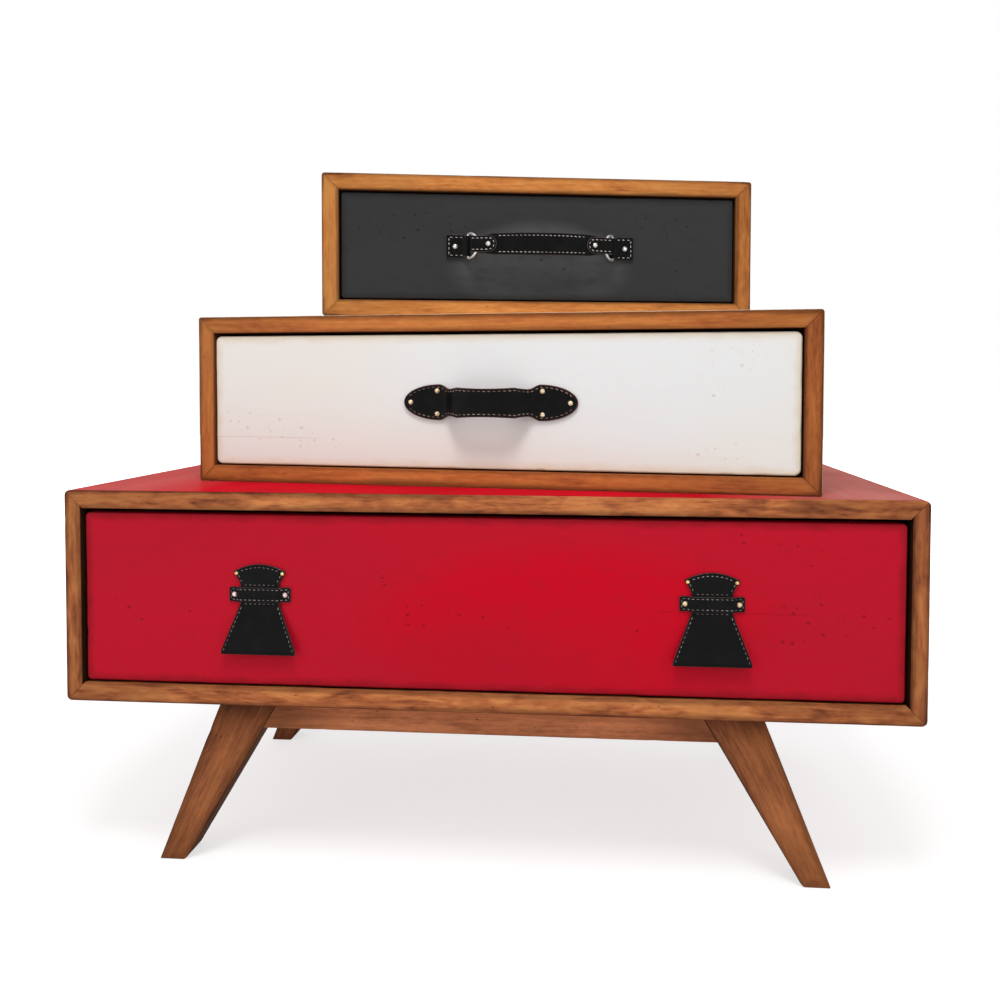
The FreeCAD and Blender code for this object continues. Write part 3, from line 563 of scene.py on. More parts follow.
@dataclass(frozen=True)
class CaseFinish(Finish):
    """A case board: stained on its front edge, painted outside, and dark inside, where a dark stain also
    paints the shade in the drawer gaps.

    Beside its timber's marks it reads "painted", the distance past the line where the paint starts, a mark
    for the dark inside, the distance past the line where that painted shade starts, and a mark for the
    painted reflection on the top, where its paint is paler and pinker.
    """

    wood: StainedWood
    paint: Colour
    worn: Colour  # the paint where it has rubbed thin
    # painted reflection: this paler, pinker paint is laid over the top where its gloss would mirror the
    # bright surroundings
    faded: Colour
    # the inside's colour: a dark stain that also stands in for the shade in the drawer gaps, as painted shade
    inside: Colour
    gloss: float = 0.3  # the paint's roughness
    polish: float = 0.08  # how much the paint shines

    def surface(self, shader: Nodes) -> Sockets:
        """The surface's sockets, by name."""
        colour, rough, height = self.wood.layers(shader)
        at = shader.mark("grain", "Vector")
        # painted shade: the inner faces darken to the inside colour from just behind the front, a dark stain
        # that also stands in for the shade in the drawer gaps
        inside = shader.mark("hidden").step(-0.6 * MM, 0.8 * MM)
        colour = shader.mix(colour, self.inside, inside * 0.93)
        past = shader.mark("painted")
        ragged = shader.noise(at, (220, 220, 220), detail=2)
        cover = (past + (ragged - 0.5) * (0.5 * MM)).step(-0.15 * MM, 0.15 * MM)
        rubbed = (past * -1.0 + ragged * (1.4 * MM)).step(-1.2 * MM, 0.6 * MM)
        cloud = shader.noise(at, (7, 7, 7), detail=3)
        specks = shader.spots(at, (60, 60, 60), 0.06, 0.16) * shader.noise(at, (5, 9, 9)).step(0.5, 0.6)
        # painted reflection: pale streaks running back from the front edge, within the paler paint where the
        # top mirrors its surroundings
        reflection_streaks = shader.noise(at, (75, 75, 3), detail=3)
        fading = shader.mark("faded") * (cloud * 0.6 + reflection_streaks * 0.6 + 0.35)
        coat = shader.layered(
            self.paint, (self.faded, fading), (self.worn, cloud.step(0.35, 0.75) * 0.3),
            (self.worn, rubbed * 0.7), ((0.01, 0.006, 0.005, 1.0), specks * 0.7),
        )
        film = self.gloss + cloud * 0.1 + specks * 0.3
        skin = 0.85 - specks * 0.4
        colour = shader.mix(colour, coat, cover)
        rough = rough + (film - rough) * cover
        height = height + (skin - height) * cover
        shine = (self.wood.polish + (self.polish - self.wood.polish) * cover) * (1.0 - inside)
        return self.coated((colour, rough, shader.bump(height, 0.12 * MM)), shine, 0.3)


@dataclass(frozen=True)
class Crack:
    """A fine split in a drawer front along its grain, placed from the front's middle."""

    start: float
    end: float
    level: float

    def cover(self, shader: Nodes, at: Value) -> Value:
        """The split's mask: at its level, between its ends, and broken here and there."""
        along, level, _ = shader.parts(at)
        sway = shader.noise(at, (9, 0, 0), detail=3) - 0.5
        off = (level - self.level + sway * (3.0 * MM)).maths("ABSOLUTE")
        inside = (along - self.start).step(0.0, 0.01) * (self.end - along).step(0.0, 0.03)
        return off.step(0.45 * MM, 0.1 * MM) * inside * shader.noise(at, (25, 0, 0)).step(0.3, 0.45)


@dataclass(frozen=True)
class Area:
    """An ellipse on a drawer front, placed from the front's middle."""

    x: float
    z: float
    width: float  # half its width
    height: float  # half its height

    def cover(self, shader: Nodes, at: Value) -> Value:
        """The area's mask, 1 in its middle and 0 outside: a fall with the ellipse's radius."""
        x, z, _ = shader.parts(at)
        return (((x - self.x) / self.width) ** 2.0 + ((z - self.z) / self.height) ** 2.0).step(1.0, 0.3)


@dataclass(frozen=True)
class DrawerPaint(Finish):
    """Paint on a drawer front: pitted in places, split along the grain and rubbed at the rim, with a painted
    pool of light laid over one area.

    The marks it reads are "grain", the place on the front with x along its width, and
    "edges", whose x is the distance to the front's rim.
    """

    colour: Colour
    deep: Colour  # in the broad darker clouds
    rim: Colour
    pit: Colour  # in pits and splits
    bright: Colour  # painted light: the lighter tone laid over the clear area
    clear: Area  # where the painted pool of light lies
    rim_width: float = 0.012  # how far the rim's colour reaches in
    pitted: tuple[Area, ...] = ()  # where pits lie close together
    cracks: tuple[Crack, ...] = ()
    scatter: float = 0.64  # the cloud level from which there are pits elsewhere
    pit_depth: float = 0.7  # how much a pit shows, from 0 to 1
    gloss: float = 0.32  # its roughness
    polish: float = 0.12

    def surface(self, shader: Nodes) -> Sockets:
        """The surface's sockets, by name."""
        at = shader.mark("grain", "Vector")
        gap, _, _ = shader.parts(shader.mark("edges", "Vector"))
        cloud = shader.noise(at, (2.2, 3.5, 3.5), detail=2)
        mottle = shader.noise(at, (30, 55, 55), detail=4)
        streak = shader.noise(at, (6, 190, 190), detail=2)
        picked = shader.noise(at, (7, 16, 16), detail=1).step(self.scatter, self.scatter + 0.05)
        for area in self.pitted:
            picked = picked.at_least(area.cover(shader, at))
        pits = shader.spots(at, (62, 80, 80), 0.125, 0.42, "2D") * picked
        fine = shader.spots(at, (140, 170, 170), 0.16, 0.2, "2D") * picked
        marks = pits.at_least(fine * 0.5) * self.pit_depth
        for crack in self.cracks:
            marks = marks.at_least(crack.cover(shader, at) * 0.55)
        edge = (gap + (mottle - 0.5) * self.rim_width).step(self.rim_width, 0.0)
        line = (gap + (mottle - 0.5) * (1.2 * MM)).step(1.6 * MM, 0.2 * MM)
        # painted light: the bright tone over the clear area stands in for where light falls most
        colour = shader.layered(
            self.colour, (self.bright, self.clear.cover(shader, at)),
            (self.deep, cloud.step(0.4, 0.75) * 0.7), (self.deep, mottle.step(0.45, 0.75) * 0.35),
            (self.deep, streak.step(0.55, 0.75) * 0.2), (self.rim, edge * 0.65),
            (self.pit, line * 0.6), (self.pit, marks),
        )
        rough = self.gloss + mottle * 0.08 + marks * 0.3
        height = 0.6 + mottle * 0.04 + streak * 0.03 - marks * 0.6
        return self.coated((colour, rough, shader.bump(height, 0.25 * MM)), self.polish, 0.28)


@dataclass(frozen=True)
class BareWood(Finish):
    """Plain timber of the inside pieces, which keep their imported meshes."""

    light: Colour
    dark: Colour
    turn: float  # about z, in radians
    grain: Grain
    roughness: float = 0.55

    def surface(self, shader: Nodes) -> Sockets:
        """The surface's sockets, by name."""
        at = shader.here()
        for turn in ((0.0, 0.0, -self.turn), self.grain.value):
            at = shader.node("ShaderNodeMapping", sockets={"Vector": at, "Rotation": turn})
        _, across, depth = shader.parts(at)
        fibre = shader.noise(at, (12, 800, 800), detail=3)
        figure = shader.noise(at, (2.4, 17, 17), detail=3, bend=0.4)
        growth = ((across + depth * 0.35) * 300 + figure * 30).maths("SINE") * 0.5 + 0.5
        share = growth * 0.45 + fibre * 0.5 + figure * 0.3 - 0.2
        colour = shader.mix(self.light, self.dark, share.at_least(0.0).at_most(1.0))
        rough = self.roughness + fibre * 0.2
        normal = shader.bump(fibre + growth * 0.3, 0.15 * MM)
        return {"Base_Color": colour, "Roughness": rough, "Normal": normal, "Specular_IOR_Level": 0.25}


@dataclass(frozen=True)
class Leather(Finish):
    """Dyed glossy leather with a fine grain and paler cut edges.

    The mark it reads is "cut", the distance to the nearest cut edge.
    """

    dye: Colour
    edge: Colour
    edge_width: float = 0.9 * MM  # how far the edge's colour reaches in
    gloss: float = 0.3  # its roughness

    def surface(self, shader: Nodes) -> Sockets:
        """The surface's sockets, by name."""
        at = shader.here()
        cells = {"Vector": shader.stretched(at, (1100, 1100, 1100)), "Scale": 1.0}
        pores = shader.node("ShaderNodeTexVoronoi", {"feature": "DISTANCE_TO_EDGE"}, cells)
        soft = shader.noise(at, (60, 60, 60), detail=3)
        fine = shader.noise(at, (2200, 2200, 2200), detail=1)
        edge = shader.mark("cut") + (soft - 0.5) * (0.6 * MM)
        edge = edge.step(self.edge_width, self.edge_width * 0.4)
        colour = shader.layered(self.dye, (scaled(self.dye, 1.7), soft.step(0.4, 0.75)), (self.edge, edge))
        rough = self.gloss + soft * 0.12 + edge * 0.15
        normal = shader.bump(pores.step(0.0, 0.12) * 0.5 + fine * 0.2 + soft * 0.6, 0.05 * MM)
        return self.coated((colour, rough, normal), 0.07 + edge * 0.3, 0.2, 0.03)


@dataclass(frozen=True)
class Thread(Finish):
    """Waxed sewing thread."""

    pale: Colour
    soiled: Colour

    def surface(self, shader: Nodes) -> Sockets:
        """The surface's sockets, by name."""
        at = shader.here()
        wear = shader.noise(at, (45, 45, 45), detail=3)
        twist = shader.noise(at, (1500, 1500, 1500), detail=1)
        colour = shader.mix(self.pale, self.soiled, wear.step(0.38, 0.62))
        rough, normal = 0.5 + twist * 0.3, shader.bump(twist, 0.1 * MM)
        return {"Base_Color": colour, "Roughness": rough, "Normal": normal, "Specular_IOR_Level": 0.2}


@dataclass(frozen=True)
class Metal(Finish):
    """Polished or plain metal, dulled in patches, and paler where the mark "pearly" is 1."""

    bright: Colour
    dull: Colour
    roughness: float = 0.18
    pearl: Colour = tone(226, 206, 206)

    def surface(self, shader: Nodes) -> Sockets:
        """The surface's sockets, by name."""
        at = shader.here()
        haze = shader.noise(at, (220, 220, 220), detail=3)
        scratch = shader.noise(at, (2600, 500, 900), detail=2)
        dulled = haze.step(0.45, 0.7) * 0.7
        colour = shader.layered(self.bright, (self.pearl, shader.mark("pearly")), (self.dull, dulled))
        rough = self.roughness + haze.step(0.4, 0.8) * 0.22
        normal = shader.bump(scratch, 0.02 * MM)
        return {"Base_Color": colour, "Roughness": rough, "Normal": normal, "Metallic": 1.0}


ARC_STEPS = 4  # steps in each rounded corner of a board's outline
NEAR_CORNER = 1.2 * MM  # how far past a corner the outline's next point lies
END_PLACES = np.array([0.0, 0.15, 0.3, 0.5, 0.8, 1.3, 2.0, 3.0, 4.5, 7.0, 11.0]) * MM


def worn_section(corners: Array, rounds: Array) -> Array:
    """A board's outline with rounded corners, at each place along the board.

    From the side before a corner to the side after it, the arc is
    corner + round * (before * (1 - sin a) + after * (1 - cos a)), with a from 0 to 90 degrees.

    Args:
        corners: Corner points in order, (n, 2) or (rows, n, 2), each square.
        rounds: Radius at each corner, (rows, n).

    Returns:
        Outline points, (rows, points, 2).
    """
    count = rounds.shape[1]
    corners = np.broadcast_to(corners, (len(rounds), count, 2))
    before = unit(np.roll(corners, 1, axis=1) - corners)
    after = unit(np.roll(corners, -1, axis=1) - corners)
    angle = np.linspace(0, pi / 2, ARC_STEPS + 1)[:, None]
    arcs = []
    for i in range(count):
        arc = before[:, i, None] * (1 - np.sin(angle)) + after[:, i, None] * (1 - np.cos(angle))
        arcs.append(corners[:, i, None] + rounds[:, i, None, None] * arc)
    pieces = []
    for arc, following in zip(arcs, arcs[1:] + arcs[:1]):
        start, end = arc[:, -1:], following[:, :1]
        near = min(NEAR_CORNER / float(np.linalg.norm(end[0, 0] - start[0, 0])), 0.2)
        share = np.array([near, near * 3, 0.5, 1 - near * 3, 1 - near] if near < 0.15 else [0.33, 0.67])
        pieces += [arc, start + (end - start) * share[:, None]]
    return np.concatenate(pieces, axis=1)


def stations(half: float, spacing: float) -> Array:
    """Places from -1 to 1 along a board: evenly spaced, and close together at its ends."""
    ends = END_PLACES / half
    inner = np.linspace(-1 + ends[-1], 1 - ends[-1], max(3, int(2 * half / spacing)))
    return np.concatenate([-1 + ends[:-1], inner, 1 - ends[:-1][::-1]])


def waver(rng: np.random.Generator, at: Array, longest: float) -> Array:
    """A smooth random line: the sum of four sines, each half as long and 0.7 as high as the last.

    Args:
        rng: Source of the phases.
        at: Places along the line.
        longest: Length of the longest wave.

    Returns:
        Values at the places, mostly between -1 and 1.
    """
    steps = np.arange(4)[:, None]
    phases = rng.uniform(0, 2 * pi, steps.shape)
    waves = 0.7**steps * np.sin(2 * pi * 2**steps * at / longest + phases)
    return waves.sum(0) / 1.6


def wear_of(rng: np.random.Generator, at: Array, base: float, dents: int) -> Array:
    """An edge's radius along a board: a wavering base with a few wider dents.

    Args:
        rng: Source of the wear.
        at: Places along the board.
        base: The common radius.
        dents: Number of dents, each base * 0.3 to 0.9 deeper over 3 to 9 mm.

    Returns:
        The radius at each place.
    """
    radius = base * (1 + 0.16 * waver(rng, at, 0.21))
    places = rng.uniform(at.min(), at.max(), (dents, 1))
    widths = rng.uniform(3 * MM, 9 * MM, (dents, 1))
    depths = base * rng.uniform(0.3, 0.9, (dents, 1))
    return radius + (depths * np.exp(-(((at - places) / widths) ** 2))).sum(0)


Four = tuple[float, float, float, float]


class Side(Enum):
    """A board's side of the case: the way its length runs, and the way out of the case."""

    TOP = ((1.0, 0.0, 0.0), (0.0, 0.0, 1.0))
    BOTTOM = ((1.0, 0.0, 0.0), (0.0, 0.0, -1.0))
    LEFT = ((0.0, 0.0, 1.0), (-1.0, 0.0, 0.0))
    RIGHT = ((0.0, 0.0, 1.0), (1.0, 0.0, 0.0))

    @property
    def word(self) -> str:
        """The side's name in the names of pieces."""
        return self.name.lower()

    def pick(self, values: Four) -> float:
        """The side's own among four values in the order of the sides."""
        return values[list(Side).index(self)]


@dataclass
class Case:
    """One open-fronted case of four mitred boards, with its back and its two runners.

    Where there are four values, they are in the order of Side. Places on the top board are
    shares of its half length.
    """

    name: str
    turn: float  # about z, in degrees
    finish: CaseFinish
    planks: Four  # how much paler each board's timber is
    thicker: Four = (0.0, 0.0, 0.0, 0.0)  # how much thicker than packed each board is
    corner: float = 5.0 * MM  # radius of the outer corners
    fading: Pair | None = None  # where the top's painted reflection starts and is full
    half_fading: Pair = (0.66, 0.86)  # the same towards the left, where the painted reflection is half as strong
    cleaner: Point = (6.0 * MM, -0.1, 0.2)  # how much its outer stain narrows, and between where
    edge: float = 1.1 * MM  # common radius of the worn front edges
    groove: float = 0.3 * MM  # of the fine groove along the mitres
    tip_stain: Pair = (2.6 * MM, 34.0 * MM)  # how much it widens at a board's ends, and over what
    bottom_stain: float = 1.5  # how many times narrower the inner darkening is on the bottom board, whose inner edge faces up to the light: stain and painted shade
    right_stain: float = 1.6 * MM  # how much wider the inner darkening is on the right board, whose shaded inner face is in view: painted shade
    dark_from: Four = (1.0 * MM, 4.4 * MM, 1.0 * MM, 1.0 * MM)  # where the dark inside, a stain that also paints the shade in the gap, starts

    def __post_init__(self) -> None:
        """Find where the case stands from its packed boards."""
        turned = Place(turn=radians(self.turn))
        boards = [Span.of(f"{self.name}_{side.word}_board", turned) for side in Side]
        low = np.min([board.low for board in boards], axis=0)
        high = np.max([board.high for board in boards], axis=0)
        origin = turned.out(np.array([(low[0] + high[0]) / 2, low[1], low[2]]))
        self.place = Place(tuple(origin), turned.turn)
        self.width, self.depth, self.height = high - low
        self.board = Span.of(f"{self.name}_bottom_board", self.place).size[2]
        panel = Span.of(f"{self.name}_back_panel", self.place)
        self.rebate_width = panel.high[0] - (self.width / 2 - self.board)
        self.rebate_depth = self.depth - panel.low[1]

    def build(self) -> None:
        """Make the four boards."""
        for side in Side:
            node = f"{self.name}_{side.word}_board"
            replace_node(node, [self.board_patch(side)], self.finish, "chest", "stained_wood")

    def board_patch(self, side: Side) -> Patch:
        """One board, as its worn outline carried along it.

        Across the board, o runs from 0 inside the case to the thickness t outside. A point's
        reach along the board is half the case's width less t - o, which is the mitre. Near the
        outer corner o is at most t - r + sqrt(r^2 - p^2), with p the way past the arc's start.

        Args:
            side: The board's side of the case.

        Returns:
            The closed board, with its marks.
        """
        rng = seeded(f"{self.name} {side.word}")
        along, outward = (np.array(axis) for axis in side.value)
        half = (self.width if along[0] else self.height) / 2
        more = side.pick(self.thicker)
        thick, deep, corner = self.board + more, self.depth, self.corner
        rebate, floor = self.rebate_width + more, deep - self.rebate_depth
        share = stations(half, 7 * MM)
        at = share * half
        corners = [(0.0, 0.0), (thick, 0.0), (thick, deep), (rebate, deep), (rebate, floor), (0.0, floor)]
        wear = [(self.edge, int(half * 8)), (self.edge * 1.2, int(half * 8)), (self.edge, 2)]
        rounds = joined(*(wear_of(rng, at, base, dents) for base, dents in wear), *[0.2 * MM] * 3)
        ring = worn_section(np.array(corners), rounds)
        o, y = ring[..., 0], ring[..., 1]
        cut_back = (1 - sqrt(0.5)) * corner
        reach = half - np.maximum(thick - o, cut_back)
        s = share[:, None] * reach
        from_mitre = (reach - np.abs(s)) * sqrt(0.5)
        past = np.maximum(np.abs(s) - (half - corner), 0)
        o = np.minimum(o, thick - corner + np.sqrt(np.maximum(corner**2 - past**2, 0)))
        inset = np.maximum(self.groove - from_mitre, 0)
        o, y = np.clip(o, inset, thick - inset), np.clip(y, inset, deep - inset)
        base = np.array([0.0, 0.0, self.height / 2]) + outward * np.array([self.width, 0.0, self.height]) / 2
        local = base + s[..., None] * along + (o - thick)[..., None] * outward
        local[..., 1] += y
        marks = self.board_marks(side, joined(s, o, y), from_mitre, (half, thick))
        marks["grain"] = joined(s, o - thick / 2, y) + rng.uniform(0, 30, 3)
        return Patch(self.place.out(local), marks).ringed().capped()

    def board_marks(self, side: Side, places: Array, from_mitre: Array, size: Pair) -> dict[str, Array]:
        """What a board's finish reads beside its grain.

        Args:
            side: The board's side of the case.
            places: The way along the board, out of the case and back from its front.
            from_mitre: Distance from the nearest mitre.
            size: Half the board's length, and its thickness.

        Returns:
            The marks by name.
        """
        half, thick = size
        s, o, y = np.moveaxis(places, -1, 0)
        more, length = self.tip_stain
        outer = np.maximum(thick - o, y) - more * rise(np.abs(s), half - length, half)
        inner = np.maximum(o, y)
        # The inner rim beside the drawer opening is stain and painted shade of the recess: narrower on the
        # bottom board, lit from above, and wider on the right board, whose inner face is seen in shade.
        if side is Side.BOTTOM:
            inner = inner * self.bottom_stain
        if side is Side.RIGHT:
            inner = inner - self.right_stain
        faded = np.zeros(s.shape)
        if self.fading and side is Side.TOP:
            less, start, end = self.cleaner
            outer = outer + less * rise(s / half, start, end)
            # painted reflection: paler paint towards the right end of the top, and half as much towards the
            # left end
            faded = rise(s / half, *self.fading) + 0.5 * rise(-s / half, *self.half_fading)
        return {
            "edges": joined(outer, inner, from_mitre),
            "painted": np.minimum(y - (thick - o), o - thick / 2),
            # painted shade inside: the distance past where the dark inside starts
            "hidden": np.minimum(y - o - side.pick(self.dark_from), thick / 2 - o),
            "faded": faded,
            "plank": np.full(s.shape, side.pick(self.planks)),
        }

    def dress(self) -> None:
        """Finish the back panel and the runners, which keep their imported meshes."""
        turn = self.place.turn
        back = BareWood(f"{self.name}_back_veneer", tone(132, 92, 60), tone(96, 62, 40), turn, Grain.UPRIGHT)
        dress_node(f"{self.name}_back_panel", back)
        # The runners' dark brown also paints the shade in the drawer gaps, where their front ends show:
        # painted shade.
        tones = (tone(92, 62, 40), tone(66, 44, 28))
        runner = BareWood(f"{self.name}_runner_wood", *tones, turn, Grain.DEEP, 0.4)
        for side in (Side.LEFT, Side.RIGHT):
            dress_node(f"{self.name}_{side.word}_runner", runner)


ARC_POINTS = 6  # points in the round corner of a drawer front
RING_SPACING = 9 * MM  # distance between points along a front's sides
DEEPEST_WEAR = 3.9 * MM  # the largest radius of a front's edge
BACK_EDGE = 0.8 * MM
FACE_RINGS = np.array([1.0, 0.82, 0.6, 0.4, 0.25, 0.15, 0.09])  # as shares of half its height
RIM_RINGS = np.array([5.5, 4.2]) * MM


def ring_columns(side_points: tuple[int, int]) -> int:
    """Number of points round a rectangle with round corners."""
    return 4 * ARC_POINTS + 2 * sum(side_points)


def rounded_rectangle(size: Pair, corner: float, inset: Array, side_points: tuple[int, int]) -> Array:
    """Points round a rectangle with round corners, moved in from its outline by an inset.

    A point is its corner's centre plus radius * (cos a, sin a), or lies on the straight run
    between two arcs. The radius is the corner's less the inset, and not under zero.

    Args:
        size: The rectangle's width and height.
        corner: Radius of its corners.
        inset: How far each point moves in, (rows, columns), or (rows, 1) for all columns.
        side_points: Points along a horizontal and along a vertical side.

    Returns:
        The points, (rows, columns, 2). Their number of columns is ring_columns(side_points).
    """
    inset = np.broadcast_to(inset, (len(inset), ring_columns(side_points)))
    radius = np.maximum(corner - inset, 0)
    arc = np.linspace(0, pi / 2, ARC_POINTS)
    quarters = np.array([[1, 1], [-1, 1], [-1, -1], [1, -1]], float)
    signs, angles = [], []
    for quarter, count in enumerate(side_points * 2):
        start = pi / 2 * (quarter + 1)
        first, second = quarters[quarter], quarters[(quarter + 1) % 4]
        share = np.linspace(0, 1, count + 2)[1:-1, None]
        signs += [np.repeat(first[None], ARC_POINTS, axis=0), first + (second - first) * share]
        angles += [arc + start - pi / 2, np.full(count, start)]
    sign, angle = np.concatenate(signs), np.concatenate(angles)
    centre = joined(size[0] / 2 - inset - radius, size[1] / 2 - inset - radius)
    return centre * sign + radius[..., None] * joined(np.cos(angle), np.sin(angle))


@dataclass
class Drawer:
    """A drawer: its painted front, and its box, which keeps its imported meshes."""

    case: Case
    paint: DrawerPaint
    slot: str  # the name of the paint's slot
    trim: Four  # how much smaller than packed the front is, in the order of Side
    corner: float = 6.0 * MM  # radius of the front's corners
    edge: float = 2.4 * MM  # common radius of the front's worn edges

    def __post_init__(self) -> None:
        """Find the front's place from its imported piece."""
        self.body = f"{self.case.name}_drawer"
        self.node = f"{self.body}_front"
        self.front = Span.of(self.node, self.case.place)
        self.face = float(self.front.low[1])

    def build(self) -> None:
        """Make the front."""
        replace_node(self.node, [self.front_patch()], self.paint, self.body, self.slot)

    def front_patch(self) -> Patch:
        """The front, as rings from the middle of its face out over its rim to its back.

        Each ring is the outline moved in by an inset. On the rim the inset is r(1 - sin a) and
        the depth r(1 - cos a), with a from 0 to 90 degrees and r the worn radius there.

        Returns:
            The closed front, with its marks.
        """
        rng = seeded(f"{self.case.name} front")
        top, bottom, left, right = self.trim
        width, thick, height = self.front.size - np.array([left + right, 0, top + bottom])
        side_points = (int(width / RING_SPACING), int(height / RING_SPACING))
        columns = ring_columns(side_points)
        lap = np.linspace(0, 2 * (width + height), columns)
        worn = np.minimum(wear_of(rng, lap, self.edge, 10), DEEPEST_WEAR)
        angle = np.linspace(0, pi / 2, 6)[:, None]
        flat = np.concatenate([FACE_RINGS * height / 2, RIM_RINGS])[:, None] + np.zeros(columns)
        row = np.ones((1, columns))
        inset = [flat, worn * (1 - np.sin(angle)), row * 0, row * BACK_EDGE, flat[::-1]]
        deep = [flat * 0, worn * (1 - np.cos(angle)), row * (thick - BACK_EDGE), row * thick]
        inset, deep = np.concatenate(inset), np.concatenate([*deep, flat * 0 + thick])
        ring = rounded_rectangle((width, height), self.corner, inset, side_points)
        x, z = ring[..., 0], ring[..., 1]
        middle = self.front.middle + np.array([left - right, 0, bottom - top]) / 2
        local = joined(x + middle[0], deep + self.face, z + middle[2])
        marks = {"grain": joined(x, z, deep), "edges": joined(np.maximum(inset, deep), deep, deep)}
        return Patch(self.case.place.out(local), marks).ringed()

    def dress(self) -> None:
        """Finish the box behind the front."""
        tones = (tone(206, 170, 122), tone(172, 128, 82))
        deep, wide = (
            BareWood(f"{self.case.name}_box_{word}_wood", *tones, self.case.place.turn, grain)
            for word, grain in (("side", Grain.DEEP), ("back", Grain.SIDEWAYS))
        )
        for part, finish in (("left_side", deep), ("right_side", deep), ("back", wide), ("bottom", wide)):
            dress_node(f"{self.body}_{part}", finish)


@dataclass
class Stand:
    """Four splayed legs, two aprons between them and two side rails."""

    finish: StainedWood  # of the legs
    apron_finish: StainedWood  # of aprons and rails
    leg_edge: float = 2.4 * MM  # common radius of the legs' edges
    foot_round: Pair = (1.6 * MM, 5.0 * MM)  # radius of the legs' lower edges, and at their inner side
    board_edge: float = 1.4 * MM  # the same of aprons and rails
    leg_planks: Pair = (-0.02, 0.05)  # how much paler the left and the right legs are

    def build(self) -> None:
        """Make the legs, the aprons and the rails."""
        for end in ("front", "rear"):
            for side in ("left", "right"):
                self.make(f"leg_{end}_{side}", self.leg_patch)
            self.make(f"apron_{end}", self.apron_patch)
        for side in ("left", "right"):
            self.make(f"side_rail_{side}", self.rail_patch)

    def make(self, node: str, patch: Callable[[str], Patch]) -> None:
        """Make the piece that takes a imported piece's place."""
        finish = self.finish if node.startswith("leg") else self.apron_finish
        replace_node(node, [patch(node)], finish, "chest", "stained_wood")

    def foot_inset(self, level: Array, radius: float) -> Array:
        """How far a leg's side draws in at a height, for a lower edge of that radius."""
        return radius - np.sqrt(radius**2 - np.maximum(radius - level, 0) ** 2)

    def leg_patch(self, node: str) -> Patch:
        """A leg, as level slices whose width and place run evenly from its foot to its top.

        Args:
            node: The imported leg.

        Returns:
            The closed leg, with its marks.
        """
        rng = seeded(node)
        points, span = node_points(node), Span.of(node)
        tall, deep = span.size[2], span.size[1]
        foot = points[points[:, 2] < span.low[2] + MM][:, 0]
        top = points[points[:, 2] > span.high[2] - MM][:, 0]
        share = (stations(tall / 2, 5 * MM) + 1)[:, None] / 2
        left = foot.min() + (top.min() - foot.min()) * share
        width = np.ptp(foot) + (np.ptp(top) - np.ptp(foot)) * share
        level = share * tall
        square = np.array([(0.0, 0.0), (1.0, 0.0), (1.0, 1.0), (0.0, 1.0)])
        rounds = joined(*(wear_of(rng, level[:, 0], self.leg_edge, 3) for _ in range(4)))
        ring = worn_section(square * joined(width, deep), rounds)
        small, large = (self.foot_inset(level, radius) for radius in self.foot_round)
        is_left = foot.mean() < 0
        x = np.clip(ring[..., 0], small if is_left else large, width - (large if is_left else small))
        y = np.clip(ring[..., 1], small, deep - small)
        shift = top.mean() - foot.mean()
        lean = atan2(shift, tall)
        upward, sideways = level - tall / 2, (share - 0.5) * shift + x - width / 2
        along = upward * cos(lean) + sideways * sin(lean)
        across = sideways * cos(lean) - upward * sin(lean)
        inner, outer = (width, 0.0) if is_left else (0.0, width)
        # Measuring from the inner side face makes the first rim darken that whole face: painted shade on the
        # leg's inner side, beside the stain along its outer edges.
        gaps = [np.abs(x - inner)] + [np.maximum(np.abs(x - outer), np.abs(y - side)) for side in (0.0, deep)]
        marks = {
            "grain": joined(along, across, y) + rng.uniform(0, 30, 3),
            # the distance from the top feeds a broad painted shadow under the case
            "edges": joined(np.minimum.reduce(gaps), tall - level, level),
            "plank": np.full(x.shape, self.leg_planks[0 if is_left else 1]),
        }
        world = joined(left + x, span.low[1] + y, span.low[2] + level)
        return Patch(world, marks).ringed().capped()

    def apron_patch(self, node: str) -> Patch:
        """An apron, whose ends slope as the legs' inner faces do."""
        leg = node_points(node.replace("apron", "leg") + "_right")
        foot, top = leg[:, 2].min(), leg[:, 2].max()
        low, high = (leg[np.abs(leg[:, 2] - level) < MM][:, 0].min() for level in (foot, top))
        return self.board(node, 0, lambda level: high + (low - high) * (top - level) / (top - foot))

    def rail_patch(self, node: str) -> Patch:
        """A side rail, square at both ends."""
        half = Span.of(node).size[1] / 2
        return self.board(node, 1, lambda level: half + level * 0)

    def board(self, node: str, axis: int, reach: Change) -> Patch:
        """A straight board under the case.

        Args:
            node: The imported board.
            axis: The axis along it, 0 for x or 1 for y.
            reach: Its half length at a height.

        Returns:
            The closed board, with its marks.
        """
        rng, span = seeded(node), Span.of(node)
        thick, tall, half = span.size[1 - axis], span.size[2], span.size[axis] / 2
        share = stations(half, 8 * MM)
        corners = np.array([(0.0, 0.0), (thick, 0.0), (thick, tall), (0.0, tall)])
        wear = [wear_of(rng, share * half, self.board_edge, 4) for _ in range(2)]
        ring = worn_section(corners, joined(*wear, 0.3 * MM, 0.3 * MM))
        t, z = ring[..., 0], ring[..., 1]
        level = span.low[2] + z
        s = share[:, None] * reach(level)
        gaps = [np.maximum(np.abs(t - side), z) for side in (0.0, thick)]
        places = [span.middle[axis] + s, span.low[1 - axis] + t]
        marks = {
            "grain": joined(s, z, t) + rng.uniform(0, 30, 3),
            "edges": joined(np.minimum(*gaps), tall - z, reach(level) - np.abs(s)),
        }
        return Patch(joined(places[axis], places[1 - axis], level), marks).ringed().capped()


CREASE_DEPTH = 0.35 * MM  # how far a face sinks along its seam
CREASE_WIDTH = 0.75 * MM
STITCH_RADIUS = 0.6 * MM
STITCH_SINK = 0.25 * MM  # how far a stitch dips at its ends
STITCH_PROUD = 0.2 * MM  # how far its middle stands over the crease


